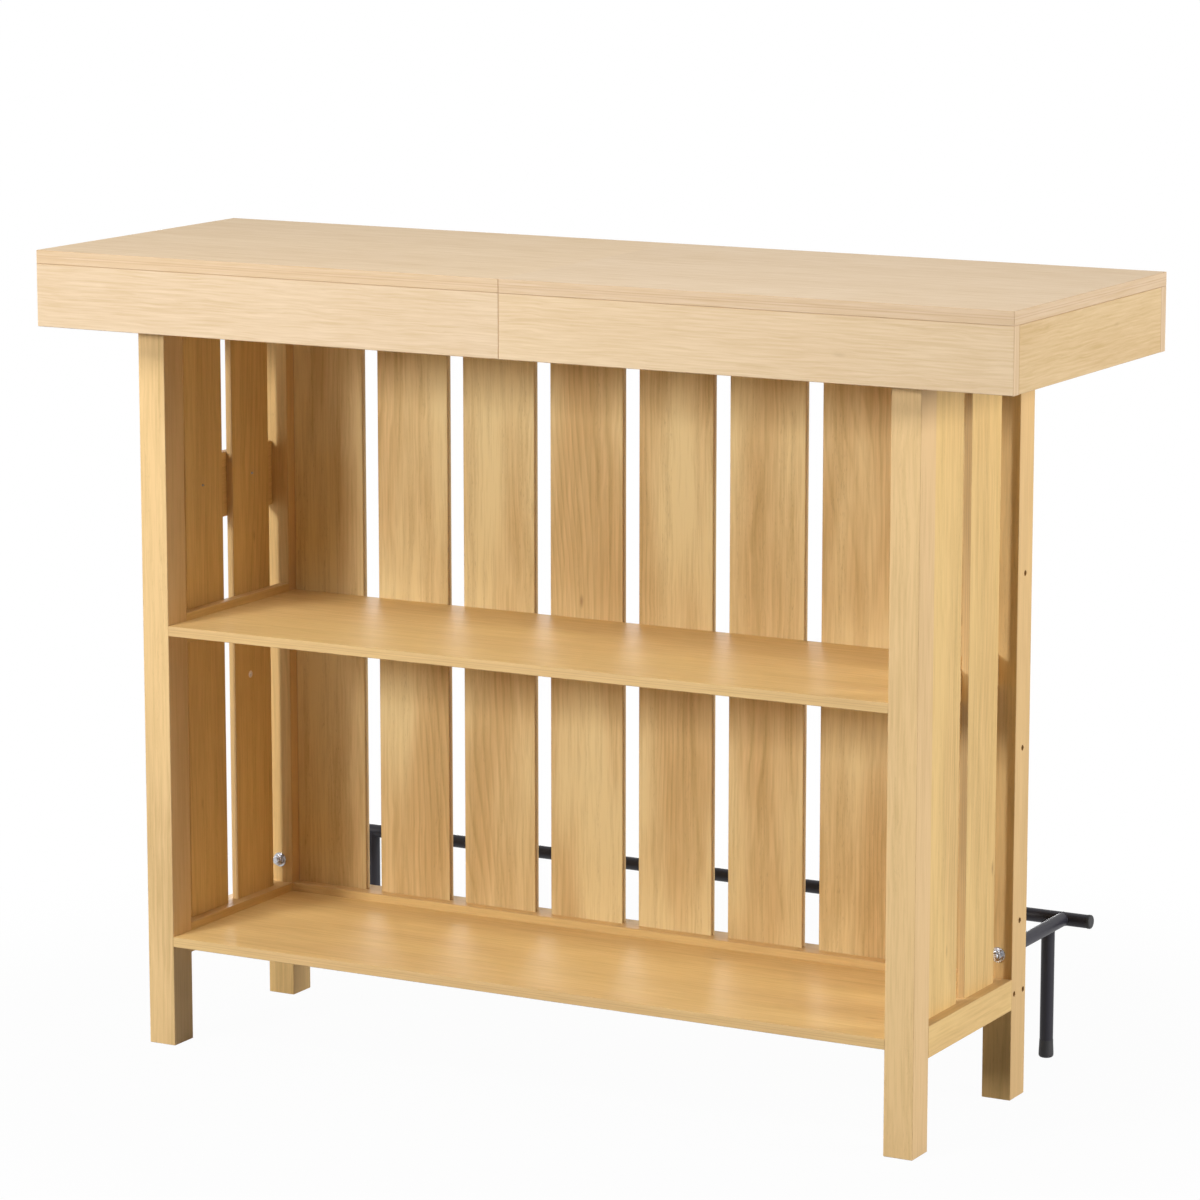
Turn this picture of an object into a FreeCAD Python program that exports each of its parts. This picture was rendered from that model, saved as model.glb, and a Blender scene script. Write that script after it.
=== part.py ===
import FreeCAD, Part
import math
import os

# Bar counter with two open shelves, a slatted back, slatted ends and a steel foot rail.
# Millimetres. +Z is up, +X runs along the counter, -Y is the open side where the bartender
# stands and +Y is the guests' side with the foot rail. The origin is on the floor, at the
# middle of the whole counter's outline.

# ---------------------------------------------------------------- driving dimensions
COUNTER_LENGTH = 1400.0       # along X, over the aprons
COUNTER_HEIGHT = 1067.0       # floor to the top surface, a 42 in bar
TOP_DEPTH = 475.0             # along Y, over the aprons
TOP_THICK = 18.0
APRON_HEIGHT = 83.0
APRON_THICK = 16.0

FRAME_LENGTH = 1130.0         # over the legs, along X
FRAME_DEPTH = 342.0           # over the legs, along Y
FRONT_OVERHANG = 35.0         # from the apron's front to the legs' front
LEG_WIDTH = 40.0              # along X
LEG_DEPTH = 44.0              # along Y

RAIL_HEIGHT = 41.0
LOWER_RAIL_Z = 120.0          # underside of the lower rails
CENTRE_RAIL_WIDTH = 60.0
CLEAT_THICK = 15.0
BACK_CLEAT_HEIGHT = 30.0

SHELF_THICK = 13.5
LOWER_SHELF_TOP = 150.0
MIDDLE_SHELF_TOP = 573.5
CLEAT_ABOVE_SHELF = 10.5      # the side cleats stand this far above the middle shelf

SLAT_THICK = 10.0
BACK_SLAT_COUNT = 8
BACK_SLAT_WIDTH = 110.0
SIDE_SLAT_COUNT = 2
SIDE_SLAT_WIDTH = 90.0

TIE_HEIGHT = 88.0             # board across the left end's slats, on their outer side
TIE_THICK = 12.0
TIE_BOTTOM_Z = 693.0
TIE_SCREW_Z = 746.0
TIE_SCREW_SPACING = 121.0

TUBE_RADIUS = 9.0
TUBE_WALL = 1.5
FOOT_RAIL_Z = 192.0
FOOT_RAIL_REACH = 170.0       # from the back legs' back face to the rail's centre line
FOOT_RAIL_LENGTH = 1170.0     # over the end caps
POST_INSET = 22.0             # from an arm's centre line to the post beside it

# ---------------------------------------------------------------- smaller sizes
EDGE_EASE = 1.0               # rounding on the boards' edges
BORE_PLAY = 0.05              # radial play of a dowel or screw in its hole

DOWEL_RADIUS = 4.0
DOWEL_LENGTH = 40.0
THIN_DOWEL_RADIUS = 3.0
THIN_DOWEL_LENGTH = 24.0
DOWEL_PITCH = 22.0            # between the two dowels of a rail end
SLAT_DOWEL_INSET = 24.0       # from a slat's edge to its dowel
FRONT_DOWEL_PITCH = 22.0

SCREW_RADIUS = 2.0
SCREW_HEAD_RADIUS = 4.0
SCREW_HEAD_HEIGHT = 2.4
SHORT_SCREW_LENGTH = 14.0
LONG_SCREW_LENGTH = 25.0

FRAME_SCREW_RADIUS = 2.0
FRAME_SCREW_HEAD_RADIUS = 3.6
FRAME_SCREW_HEAD_HEIGHT = 3.0
FRAME_SCREW_LENGTH = 57.0
FRAME_SCREW_SINK = 10.0       # depth of the open hole over each head
FRAME_SCREW_SPREAD = 28.0     # between the two screws of a back rail's end
SLAT_SCREW_FROM_RAIL = 74.0   # an end slat's lowest and highest screw, from the rails
SLAT_SCREW_STEP = 226.5
SLAT_SCREWS_BELOW = 3         # screws that the step spaces, from the lowest up

BRACKET_ARM = 30.0
BRACKET_WIDTH = 20.0
BRACKET_THICK = 2.0
BRACKET_SCREW_AT = 18.0       # from the bracket's corner to its screws
BRACKET_X = (150.0, 400.0)    # each side of the middle, on both long upper rails

CORNER_BLOCK = 40.0           # short sides of the triangular glue blocks
BLOCK_HEIGHT = 60.0
JOINT_BLOCK_LENGTH = 120.0
JOINT_BLOCK_THICK = 15.0
JOINT_SCREW_X = (20.0, 48.0)
SEAM_PLATE_LENGTH = 100.0
SEAM_PLATE_WIDTH = 30.0
SEAM_PLATE_THICK = 2.0
SEAM_PLATE_SCREW_X = (20.0, 40.0)

STUD_RADIUS = 4.0
STUD_PLUG_LENGTH = 12.0
STUD_TIP = 3.0                # how far the stud stands out of its nut
STUD_PLAY = 0.25
NUT_ACROSS_FLATS = 13.0
NUT_HEIGHT = 6.5
WASHER_RADIUS = 10.0
WASHER_THICK = 1.6

FOOT_RADIUS = 10.0
FOOT_HEIGHT = 24.0
FOOT_FLOOR = 4.0
FOOT_ROUND = 3.6              # rounding under the cup
FOOT_RIM = 0.5                # rounding at its upper rim
CAP_RADIUS = 9.4
CAP_LENGTH = 5.0
CAP_PLUG = 12.0
CAP_ROUND = 2.4

ACCESSORY_HOLE_RADIUS = 2.5
ACCESSORY_HOLE_Z = 469.0
ACCESSORY_HOLE_Y = 50.0       # behind the end frame's middle

# ---------------------------------------------------------------- places worked out from them
X = FreeCAD.Vector(1, 0, 0)
Y = FreeCAD.Vector(0, 1, 0)
Z = FreeCAD.Vector(0, 0, 1)

total_depth = FRONT_OVERHANG + FRAME_DEPTH + FOOT_RAIL_REACH + FOOT_RADIUS
top_x = COUNTER_LENGTH / 2
top_front = -total_depth / 2
top_back = top_front + TOP_DEPTH
top_under = COUNTER_HEIGHT - TOP_THICK
apron_z = top_under - APRON_HEIGHT

frame_x = FRAME_LENGTH / 2
inner_x = frame_x - LEG_WIDTH
leg_x = frame_x - LEG_WIDTH / 2
frame_front = top_front + FRONT_OVERHANG
frame_back = frame_front + FRAME_DEPTH
front_leg_back = frame_front + LEG_DEPTH
back_leg_front = frame_back - LEG_DEPTH
front_leg_y = frame_front + LEG_DEPTH / 2
back_leg_y = frame_back - LEG_DEPTH / 2
end_middle_y = (frame_front + frame_back) / 2

lower_rail_top = LOWER_RAIL_Z + RAIL_HEIGHT
upper_rail_z = top_under - RAIL_HEIGHT
slat_front = back_leg_y - SLAT_THICK / 2
middle_shelf_under = MIDDLE_SHELF_TOP - SHELF_THICK
cleat_top = MIDDLE_SHELF_TOP + CLEAT_ABOVE_SHELF
cleat_z = cleat_top - RAIL_HEIGHT

SIDES = (("left", -1), ("right", 1))

pieces = {}
bores = {}


# ---------------------------------------------------------------- helpers
def add(node, solid):
    """Put one physical piece into a node."""
    pieces.setdefault(node, []).append(solid)


def drill(node, hole):
    """Remember a hole, which is cut once every piece is made."""
    bores.setdefault(node, []).append(hole)


def point(x, y, z):
    return FreeCAD.Vector(x, y, z)


def block(x_ends, y_ends, z_ends):
    """Plain box between two coordinates on each axis, given in any order."""
    low = [min(ends) for ends in (x_ends, y_ends, z_ends)]
    size = [abs(ends[1] - ends[0]) for ends in (x_ends, y_ends, z_ends)]
    return Part.makeBox(size[0], size[1], size[2], FreeCAD.Vector(*low))


def eased(solid, axes, radius=EDGE_EASE, keep=None):
    """Round the straight edges that run along the given axes, but for those that keep() picks."""
    edges = []
    for edge in solid.Edges:
        run = edge.Vertexes[-1].Point - edge.Vertexes[0].Point
        along = [axis for axis in axes if run.normalize().cross(axis).Length < 1e-6]
        if along and not (keep and keep(edge)):
            edges.append(edge)
    return solid.makeFillet(radius, edges)


def rod(start, axis, radius, length):
    return Part.makeCylinder(radius, length, start, axis)


def tube(start, axis, length):
    outer = rod(start, axis, TUBE_RADIUS, length)
    return outer.cut(rod(start, axis, TUBE_RADIUS - TUBE_WALL, length))


def dowel(group, middle, axis, radius, length, nodes):
    """Dowel centred on a joint, with a hole for it in each board it enters."""
    start = middle - axis * (length / 2)
    add(group, rod(start, axis, radius, length))
    for node in nodes:
        drill(node, rod(start, axis, radius + BORE_PLAY, length))


def rail_dowel(middle, axis, nodes):
    dowel("rail_dowels", middle, axis, DOWEL_RADIUS, DOWEL_LENGTH, nodes)


def pan_screw(group, seat, axis, length, nodes):
    """Pan-head screw whose head sits on a face at seat and whose shank runs along axis."""
    head = rod(seat - axis * SCREW_HEAD_HEIGHT, axis, SCREW_HEAD_RADIUS, SCREW_HEAD_HEIGHT)
    crown = [edge for edge in head.Edges if edge.CenterOfMass.isEqual(seat - axis * SCREW_HEAD_HEIGHT, 1e-6)]
    head = head.makeFillet(SCREW_HEAD_HEIGHT * 0.6, crown)
    add(group, head.fuse(rod(seat, axis, SCREW_RADIUS, length)).removeSplitter())
    for node in nodes:
        drill(node, rod(seat, axis, SCREW_RADIUS + BORE_PLAY, length))


def frame_screw(outer, axis, leg, held):
    """Long screw sunk in an open hole in a leg's outer face, holding a rail or a slat."""
    seat = outer + axis * (FRAME_SCREW_SINK + FRAME_SCREW_HEAD_HEIGHT)
    head = rod(outer + axis * FRAME_SCREW_SINK, axis, FRAME_SCREW_HEAD_RADIUS, FRAME_SCREW_HEAD_HEIGHT)
    shank = rod(seat, axis, FRAME_SCREW_RADIUS, FRAME_SCREW_LENGTH)
    add("frame_screws", head.fuse(shank).removeSplitter())
    bore_depth = FRAME_SCREW_SINK + FRAME_SCREW_HEAD_HEIGHT
    drill(leg, rod(outer, axis, FRAME_SCREW_HEAD_RADIUS + BORE_PLAY, bore_depth))
    for node in (leg, held):
        drill(node, rod(seat, axis, FRAME_SCREW_RADIUS + BORE_PLAY, FRAME_SCREW_LENGTH))


# ---------------------------------------------------------------- the two ends of the frame
def leg(node, sign, y_ends):
    post = block((sign * inner_x, sign * frame_x), y_ends, (0, top_under))
    add(node, eased(post, (X, Y, Z), keep=lambda edge: edge.CenterOfMass.z > top_under - 1))


def end_rail(level, side, sign, z):
    """Rail along Y between a front and a back leg, held by two dowels at each end."""
    node = "rail_%s_%s" % (level, side)
    rail = block((sign * inner_x, sign * frame_x), (front_leg_back, back_leg_front), (z, z + RAIL_HEIGHT))
    add(node, eased(rail, (Y,)))
    for y, leg_node in ((front_leg_back, "leg_front_" + side), (back_leg_front, "leg_back_" + side)):
        for offset in (-DOWEL_PITCH / 2, DOWEL_PITCH / 2):
            middle = point(sign * leg_x, y, z + RAIL_HEIGHT / 2 + offset)
            rail_dowel(middle, Y, (node, leg_node))


def side_cleat(side, sign):
    """Batten on the inside of an end's slats, which the middle shelf butts against."""
    node = "cleat_middle_" + side
    x_ends = (sign * inner_x, sign * (inner_x + CLEAT_THICK))
    cleat = block(x_ends, (front_leg_back, back_leg_front), (cleat_z, cleat_top))
    add(node, eased(cleat, (Y,)))
    for y, leg_node in ((front_leg_back, "leg_front_" + side), (back_leg_front, "leg_back_" + side)):
        for offset in (-DOWEL_PITCH / 2, DOWEL_PITCH / 2):
            middle = point(sum(x_ends) / 2, y, cleat_z + RAIL_HEIGHT / 2 + offset)
            dowel("thin_dowels", middle, Y, THIN_DOWEL_RADIUS, THIN_DOWEL_LENGTH, (node, leg_node))


def slat_dowels(node, centres, lower, upper):
    """Two thin dowels at the foot and two at the head of a slat."""
    for centre in centres:
        for z, rail in ((lower_rail_top, lower), (upper_rail_z, upper)):
            middle = point(centre[0], centre[1], z)
            dowel("thin_dowels", middle, Z, THIN_DOWEL_RADIUS, THIN_DOWEL_LENGTH, (node, rail))


def side_slats(side, sign):
    clear = back_leg_front - front_leg_back
    gap = (clear - SIDE_SLAT_COUNT * SIDE_SLAT_WIDTH) / (SIDE_SLAT_COUNT + 1)
    x_ends = (sign * (leg_x - SLAT_THICK / 2), sign * (leg_x + SLAT_THICK / 2))
    for index, name in enumerate(("front", "back")):
        node = "side_slat_%s_%s" % (side, name)
        y = front_leg_back + gap + index * (SIDE_SLAT_WIDTH + gap)
        slat = block(x_ends, (y, y + SIDE_SLAT_WIDTH), (lower_rail_top, upper_rail_z))
        add(node, eased(slat, (Z,)))
        insets = (SLAT_DOWEL_INSET, SIDE_SLAT_WIDTH - SLAT_DOWEL_INSET)
        centres = [(sign * leg_x, y + inset) for inset in insets]
        slat_dowels(node, centres, "rail_lower_" + side, "rail_upper_" + side)


def end_frame(side, sign):
    leg("leg_front_" + side, sign, (frame_front, front_leg_back))
    leg("leg_back_" + side, sign, (back_leg_front, frame_back))
    end_rail("lower", side, sign, LOWER_RAIL_Z)
    end_rail("upper", side, sign, upper_rail_z)
    side_cleat(side, sign)
    side_slats(side, sign)


def tie_board():
    """Board screwed across the left end's two slats from outside, between the legs."""
    outer = -(leg_x + SLAT_THICK / 2 + TIE_THICK)
    inner = -(leg_x + SLAT_THICK / 2)
    z_ends = (TIE_BOTTOM_Z, TIE_BOTTOM_Z + TIE_HEIGHT)
    tie = block((outer, inner), (front_leg_back + 1, back_leg_front - 1), z_ends)
    add("side_tie_board", eased(tie, (Y,)))
    for y, slat in ((-TIE_SCREW_SPACING / 2, "front"), (TIE_SCREW_SPACING / 2, "back")):
        seat = point(outer, end_middle_y + y, TIE_SCREW_Z)
        pan_screw("wood_screws", seat, X, LONG_SCREW_LENGTH, ("side_tie_board", "side_slat_left_" + slat))
    hole = point(-frame_x, end_middle_y + ACCESSORY_HOLE_Y, ACCESSORY_HOLE_Z)
    drill("side_slat_left_back", rod(hole, X, ACCESSORY_HOLE_RADIUS, LEG_WIDTH))


# ---------------------------------------------------------------- the back and the long rails
def long_rail(node, y_ends, z):
    rail = block((-inner_x, inner_x), y_ends, (z, z + RAIL_HEIGHT))
    add(node, eased(rail, (X,)))


def front_rail():
    """Upper rail across the open side, doweled between the front legs."""
    long_rail("rail_upper_front", (frame_front, front_leg_back), upper_rail_z)
    for side, sign in SIDES:
        for offset in (-FRONT_DOWEL_PITCH / 2, FRONT_DOWEL_PITCH / 2):
            middle = point(sign * inner_x, front_leg_y + offset, upper_rail_z + RAIL_HEIGHT / 2)
            rail_dowel(middle, X, ("rail_upper_front", "leg_front_" + side))


def back_rails():
    """Upper and lower rail of the back panel, each screwed through both back legs."""
    for node, z in (("rail_upper_back", upper_rail_z), ("rail_lower_back", LOWER_RAIL_Z)):
        long_rail(node, (back_leg_front, frame_back), z)
        for side, sign in SIDES:
            for offset in (-FRAME_SCREW_SPREAD / 2, FRAME_SCREW_SPREAD / 2):
                outer = point(sign * frame_x, back_leg_y + offset, z + RAIL_HEIGHT / 2)
                frame_screw(outer, X * -sign, "leg_back_" + side, node)


def slat_screw_heights():
    lowest = lower_rail_top + SLAT_SCREW_FROM_RAIL
    spaced = [lowest + step * SLAT_SCREW_STEP for step in range(SLAT_SCREWS_BELOW)]
    return spaced + [upper_rail_z - SLAT_SCREW_FROM_RAIL]


def back_slats():
    gap = (2 * inner_x - BACK_SLAT_COUNT * BACK_SLAT_WIDTH) / (BACK_SLAT_COUNT - 1)
    y_ends = (slat_front, slat_front + SLAT_THICK)
    for index in range(BACK_SLAT_COUNT):
        node = "back_slat_%d" % (index + 1)
        x = -inner_x + index * (BACK_SLAT_WIDTH + gap)
        slat = block((x, x + BACK_SLAT_WIDTH), y_ends, (lower_rail_top, upper_rail_z))
        add(node, eased(slat, (Z,)))
        insets = (SLAT_DOWEL_INSET, BACK_SLAT_WIDTH - SLAT_DOWEL_INSET)
        centres = [(x + inset, back_leg_y) for inset in insets]
        slat_dowels(node, centres, "rail_lower_back", "rail_upper_back")
        seat = point(x + BACK_SLAT_WIDTH / 2, back_leg_front, middle_shelf_under - BACK_CLEAT_HEIGHT / 2)
        pan_screw("wood_screws", seat, Y, LONG_SCREW_LENGTH, ("cleat_middle_back", node))
    for side, sign in SIDES:
        end_slat = "back_slat_%d" % (1 if sign < 0 else BACK_SLAT_COUNT)
        for z in slat_screw_heights():
            frame_screw(point(sign * frame_x, back_leg_y, z), X * -sign, "leg_back_" + side, end_slat)


def back_cleat():
    """Batten under the middle shelf's back edge, screwed to every back slat."""
    z_ends = (middle_shelf_under - BACK_CLEAT_HEIGHT, middle_shelf_under)
    cleat = block((-inner_x, inner_x), (back_leg_front, slat_front), z_ends)
    add("cleat_middle_back", eased(cleat, (X,)))


def centre_rail():
    """Short rail under the seam of the two top boards."""
    x_ends = (-CENTRE_RAIL_WIDTH / 2, CENTRE_RAIL_WIDTH / 2)
    rail = block(x_ends, (front_leg_back, back_leg_front), (upper_rail_z, top_under))
    add("rail_upper_centre", eased(rail, (Y,)))
    for y, node in ((front_leg_back, "rail_upper_front"), (back_leg_front, "rail_upper_back")):
        for x in (-CENTRE_RAIL_WIDTH / 4, CENTRE_RAIL_WIDTH / 4):
            middle = point(x, y, upper_rail_z + RAIL_HEIGHT / 2)
            rail_dowel(middle, Y, ("rail_upper_centre", node))


# ---------------------------------------------------------------- shelves
def shelf(node, y_back, z_top, end_nodes):
    """Shelf between the two ends, its front edge flush with the legs' front faces."""
    z_ends = (z_top - SHELF_THICK, z_top)
    board = block((-inner_x, inner_x), (frame_front, y_back), z_ends)
    add(node, eased(board, (X,)))
    z = z_top - SHELF_THICK / 2
    for sign, end_node in zip((-1, 1), end_nodes):
        for y in (front_leg_back + LEG_DEPTH, end_middle_y, back_leg_front - LEG_DEPTH):
            middle = point(sign * inner_x, y, z)
            dowel("thin_dowels", middle, X, THIN_DOWEL_RADIUS, THIN_DOWEL_LENGTH, (node, end_node))


def shelves():
    shelf("shelf_middle", slat_front, MIDDLE_SHELF_TOP, ("cleat_middle_left", "cleat_middle_right"))
    shelf("shelf_lower", back_leg_front, LOWER_SHELF_TOP, ("rail_lower_left", "rail_lower_right"))
    spacing = 2 * inner_x / 4
    for index in range(4):
        x = -inner_x + spacing * (index + 0.5)
        middle = point(x, back_leg_front, LOWER_SHELF_TOP - SHELF_THICK / 2)
        nodes = ("shelf_lower", "rail_lower_back")
        dowel("thin_dowels", middle, Y, THIN_DOWEL_RADIUS, THIN_DOWEL_LENGTH, nodes)


# ---------------------------------------------------------------- top and aprons
def crosses_top(edge):
    """True for the level edges in the seam, which stay sharp so that the seam closes on the top."""
    level = abs(edge.Vertexes[-1].Z - edge.Vertexes[0].Z) < 0.01
    return level and abs(edge.CenterOfMass.x) < 0.01


def top_boards():
    for side, sign in SIDES:
        board = block((0, sign * top_x), (top_front, top_back), (top_under, COUNTER_HEIGHT))
        add("top_board_" + side, eased(board, (X, Y, Z), keep=crosses_top))


def aprons():
    """Boards that hang from the top's edges: long ones in two halves, end ones between them."""
    z_ends = (apron_z, top_under)
    faces = (("front", top_front, 1), ("back", top_back, -1))
    for side, sign in SIDES:
        for face, y, inward in faces:
            board = block((0, sign * top_x), (y, y + inward * APRON_THICK), z_ends)
            add("apron_%s_%s" % (face, side), eased(board, (X, Z)))
        x_ends = (sign * (top_x - APRON_THICK), sign * top_x)
        board = block(x_ends, (top_front + APRON_THICK, top_back - APRON_THICK), z_ends)
        add("apron_side_" + side, eased(board, (Y, Z)))


def glue_blocks():
    """Triangular blocks in the aprons' corners, and flat ones behind the long aprons' seams."""
    z = top_under - BLOCK_HEIGHT
    faces = (("front", top_front + APRON_THICK, 1), ("back", top_back - APRON_THICK, -1))
    for sign in (-1, 1):
        x = sign * (top_x - APRON_THICK)
        for face, y, inward in faces:
            corner = point(x, y, z)
            along = point(x - sign * CORNER_BLOCK, y, z)
            across = point(x, y + inward * CORNER_BLOCK, z)
            triangle = Part.Face(Part.makePolygon([corner, along, across, corner]))
            add("apron_corner_blocks", triangle.extrude(Z * BLOCK_HEIGHT))
    half = JOINT_BLOCK_LENGTH / 2
    for face, y, inward in faces:
        inner = y + inward * JOINT_BLOCK_THICK
        node = "apron_joint_block_" + face
        add(node, eased(block((-half, half), (y, inner), (z, top_under)), (X,)))
        for side, sign in SIDES:
            for x in JOINT_SCREW_X:
                seat = point(sign * x, inner, z + BLOCK_HEIGHT / 2)
                nodes = (node, "apron_%s_%s" % (face, side))
                pan_screw("wood_screws", seat, Y * -inward, LONG_SCREW_LENGTH, nodes)


def seam_plate():
    """Flat steel plate across the seam, under the guests' overhang."""
    y = (frame_back + top_back - APRON_THICK - JOINT_BLOCK_THICK) / 2
    x_half = SEAM_PLATE_LENGTH / 2
    y_ends = (y - SEAM_PLATE_WIDTH / 2, y + SEAM_PLATE_WIDTH / 2)
    under = top_under - SEAM_PLATE_THICK
    plate = block((-x_half, x_half), y_ends, (under, top_under))
    add("seam_plate", eased(plate, (Z,), radius=SEAM_PLATE_WIDTH / 6))
    for side, sign in SIDES:
        for x in SEAM_PLATE_SCREW_X:
            nodes = ("seam_plate", "top_board_" + side)
            pan_screw("bracket_screws", point(sign * x, y, under), Z, SHORT_SCREW_LENGTH, nodes)


def bracket(corner, outward, board, rail):
    """Steel angle in the corner of a rail's face and the top's underside, with two screws."""
    node = "top_brackets"
    half_width = outward.cross(Z) * (BRACKET_WIDTH / 2)
    near = corner - half_width
    arms = []
    for reach, drop in ((BRACKET_ARM, BRACKET_THICK), (BRACKET_THICK, BRACKET_ARM)):
        far = corner + half_width + outward * reach - Z * drop
        arms.append(block((near.x, far.x), (near.y, far.y), (near.z, far.z)))
    add(node, arms[0].fuse(arms[1]).removeSplitter())
    under = corner + outward * BRACKET_SCREW_AT - Z * BRACKET_THICK
    pan_screw("bracket_screws", under, Z, SHORT_SCREW_LENGTH, (node, board))
    face = corner + outward * BRACKET_THICK - Z * BRACKET_SCREW_AT
    pan_screw("bracket_screws", face, outward * -1, SHORT_SCREW_LENGTH, (node, rail))


def brackets():
    for side, sign in SIDES:
        board = "top_board_" + side
        for x in BRACKET_X:
            bracket(point(sign * x, front_leg_back, top_under), Y, board, "rail_upper_front")
            bracket(point(sign * x, back_leg_front, top_under), Y * -1, board, "rail_upper_back")
        middle = point(sign * CENTRE_RAIL_WIDTH / 2, end_middle_y, top_under)
        bracket(middle, X * sign, board, "rail_upper_centre")


# ---------------------------------------------------------------- foot rail
def hexagon(start, height):
    """Hexagonal bar of the nut's size, along Y from start."""
    corner_radius = NUT_ACROSS_FLATS / math.sqrt(3)
    angles = [math.radians(60 * index) for index in range(7)]
    corners = [start + (X * math.cos(angle) + Z * math.sin(angle)) * corner_radius for angle in angles]
    return Part.Face(Part.makePolygon(corners)).extrude(Y * height)


def foot_rail():
    """Welded tube rail on two arms and two posts, bolted through the back legs."""
    rail_y = frame_back + FOOT_RAIL_REACH
    half = FOOT_RAIL_LENGTH / 2 - CAP_LENGTH
    add("foot_rail_tube", tube(point(-half, rail_y, FOOT_RAIL_Z), X, 2 * half))
    cope = rod(point(-half, rail_y, FOOT_RAIL_Z), X, TUBE_RADIUS, 2 * half)
    for side, sign in SIDES:
        arm_x = sign * leg_x
        arm = tube(point(arm_x, frame_back, FOOT_RAIL_Z), Y, FOOT_RAIL_REACH)
        add("foot_rail_arm_" + side, arm.cut(cope))
        post_x = sign * (leg_x - POST_INSET)
        post = tube(point(post_x, rail_y, FOOT_FLOOR), Z, FOOT_RAIL_Z - FOOT_FLOOR)
        add("foot_rail_post_" + side, post.cut(cope))
        add("foot_rail_feet", rubber_foot(post_x, rail_y))
        add("foot_rail_end_caps", end_cap(sign, half, rail_y))
        foot_rail_bolt(side, arm_x)


def rubber_foot(x, y):
    """Cup that the post stands in, rounded under."""
    cup = rod(point(x, y, 0), Z, FOOT_RADIUS, FOOT_HEIGHT)
    for z, radius in ((0, FOOT_ROUND), (FOOT_HEIGHT, FOOT_RIM)):
        circle = [edge for edge in cup.Edges if edge.CenterOfMass.isEqual(point(x, y, z), 1e-6)]
        cup = cup.makeFillet(radius, circle)
    return cup.cut(rod(point(x, y, FOOT_FLOOR), Z, TUBE_RADIUS + BORE_PLAY, FOOT_HEIGHT))


def end_cap(sign, half, y):
    """Rounded plug in an open end of the rail."""
    face = point(sign * half, y, FOOT_RAIL_Z)
    outward = X * sign
    dome = rod(face, outward, CAP_RADIUS, CAP_LENGTH)
    crown = [edge for edge in dome.Edges if edge.CenterOfMass.isEqual(face + outward * CAP_LENGTH, 1e-6)]
    dome = dome.makeFillet(CAP_ROUND, crown)
    plug = rod(face - outward * CAP_PLUG, outward, TUBE_RADIUS - TUBE_WALL - BORE_PLAY, CAP_PLUG)
    return dome.fuse(plug).removeSplitter()


def foot_rail_bolt(side, x):
    """Stud in an arm's end, through the back leg, with a washer and a nut on the leg's front."""
    plug_start = point(x, frame_back, FOOT_RAIL_Z)
    plug = rod(plug_start, Y, TUBE_RADIUS - TUBE_WALL - BORE_PLAY, STUD_PLUG_LENGTH)
    reach = LEG_DEPTH + WASHER_THICK + NUT_HEIGHT + STUD_TIP
    stud = rod(plug_start, Y * -1, STUD_RADIUS, reach)
    tip = [edge for edge in stud.Edges if edge.CenterOfMass.isEqual(plug_start - Y * reach, 1e-6)]
    stud = stud.makeFillet(1.2, tip)
    add("foot_rail_studs", plug.fuse(stud).removeSplitter())
    hole = rod(plug_start, Y * -1, STUD_RADIUS + STUD_PLAY, reach)
    drill("leg_back_" + side, hole)
    washer = rod(point(x, back_leg_front - WASHER_THICK, FOOT_RAIL_Z), Y, WASHER_RADIUS, WASHER_THICK)
    add("foot_rail_washers", washer.cut(hole))
    nut = hexagon(point(x, back_leg_front - WASHER_THICK - NUT_HEIGHT, FOOT_RAIL_Z), NUT_HEIGHT)
    add("foot_rail_nuts", nut.cut(rod(plug_start, Y * -1, STUD_RADIUS + BORE_PLAY, reach)))


# ---------------------------------------------------------------- putting it together
def build():
    for side, sign in SIDES:
        end_frame(side, sign)
    tie_board()
    front_rail()
    back_rails()
    back_cleat()
    back_slats()
    centre_rail()
    shelves()
    top_boards()
    aprons()
    glue_blocks()
    seam_plate()
    brackets()
    foot_rail()


def cut_bores():
    for node, holes in bores.items():
        pieces[node] = [solid.cut(holes) for solid in pieces[node]]


def export():
    os.makedirs("parts", exist_ok=True)
    for node, solids in sorted(pieces.items()):
        flat = [solid for shape in solids for solid in shape.Solids]
        shape = flat[0] if len(flat) == 1 else Part.makeCompound(flat)
        shape.exportStep("parts/%s.step" % node)
        print("%-24s %3d solid(s) %10.1f cm3" % (node, len(flat), shape.Volume / 1000))
    print(len(pieces), "nodes")


build()
cut_bores()
export()
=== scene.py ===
# %% [markdown]
# # A bar counter with two shelves, dressed board by board
# The counter arrives as a solid model in metres: every board, dowel, tube and screw is a closed solid at
# its real size. It stands on the floor, +Z is up, and the bartender's open side faces -Y. This lesson
# gives each board its oak, and remakes what repeats (slats, dowels, screws, welds) with Geometry Nodes,
# so that each of those is one rule with a few named sizes.

# %% Load the solid model
import math

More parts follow.
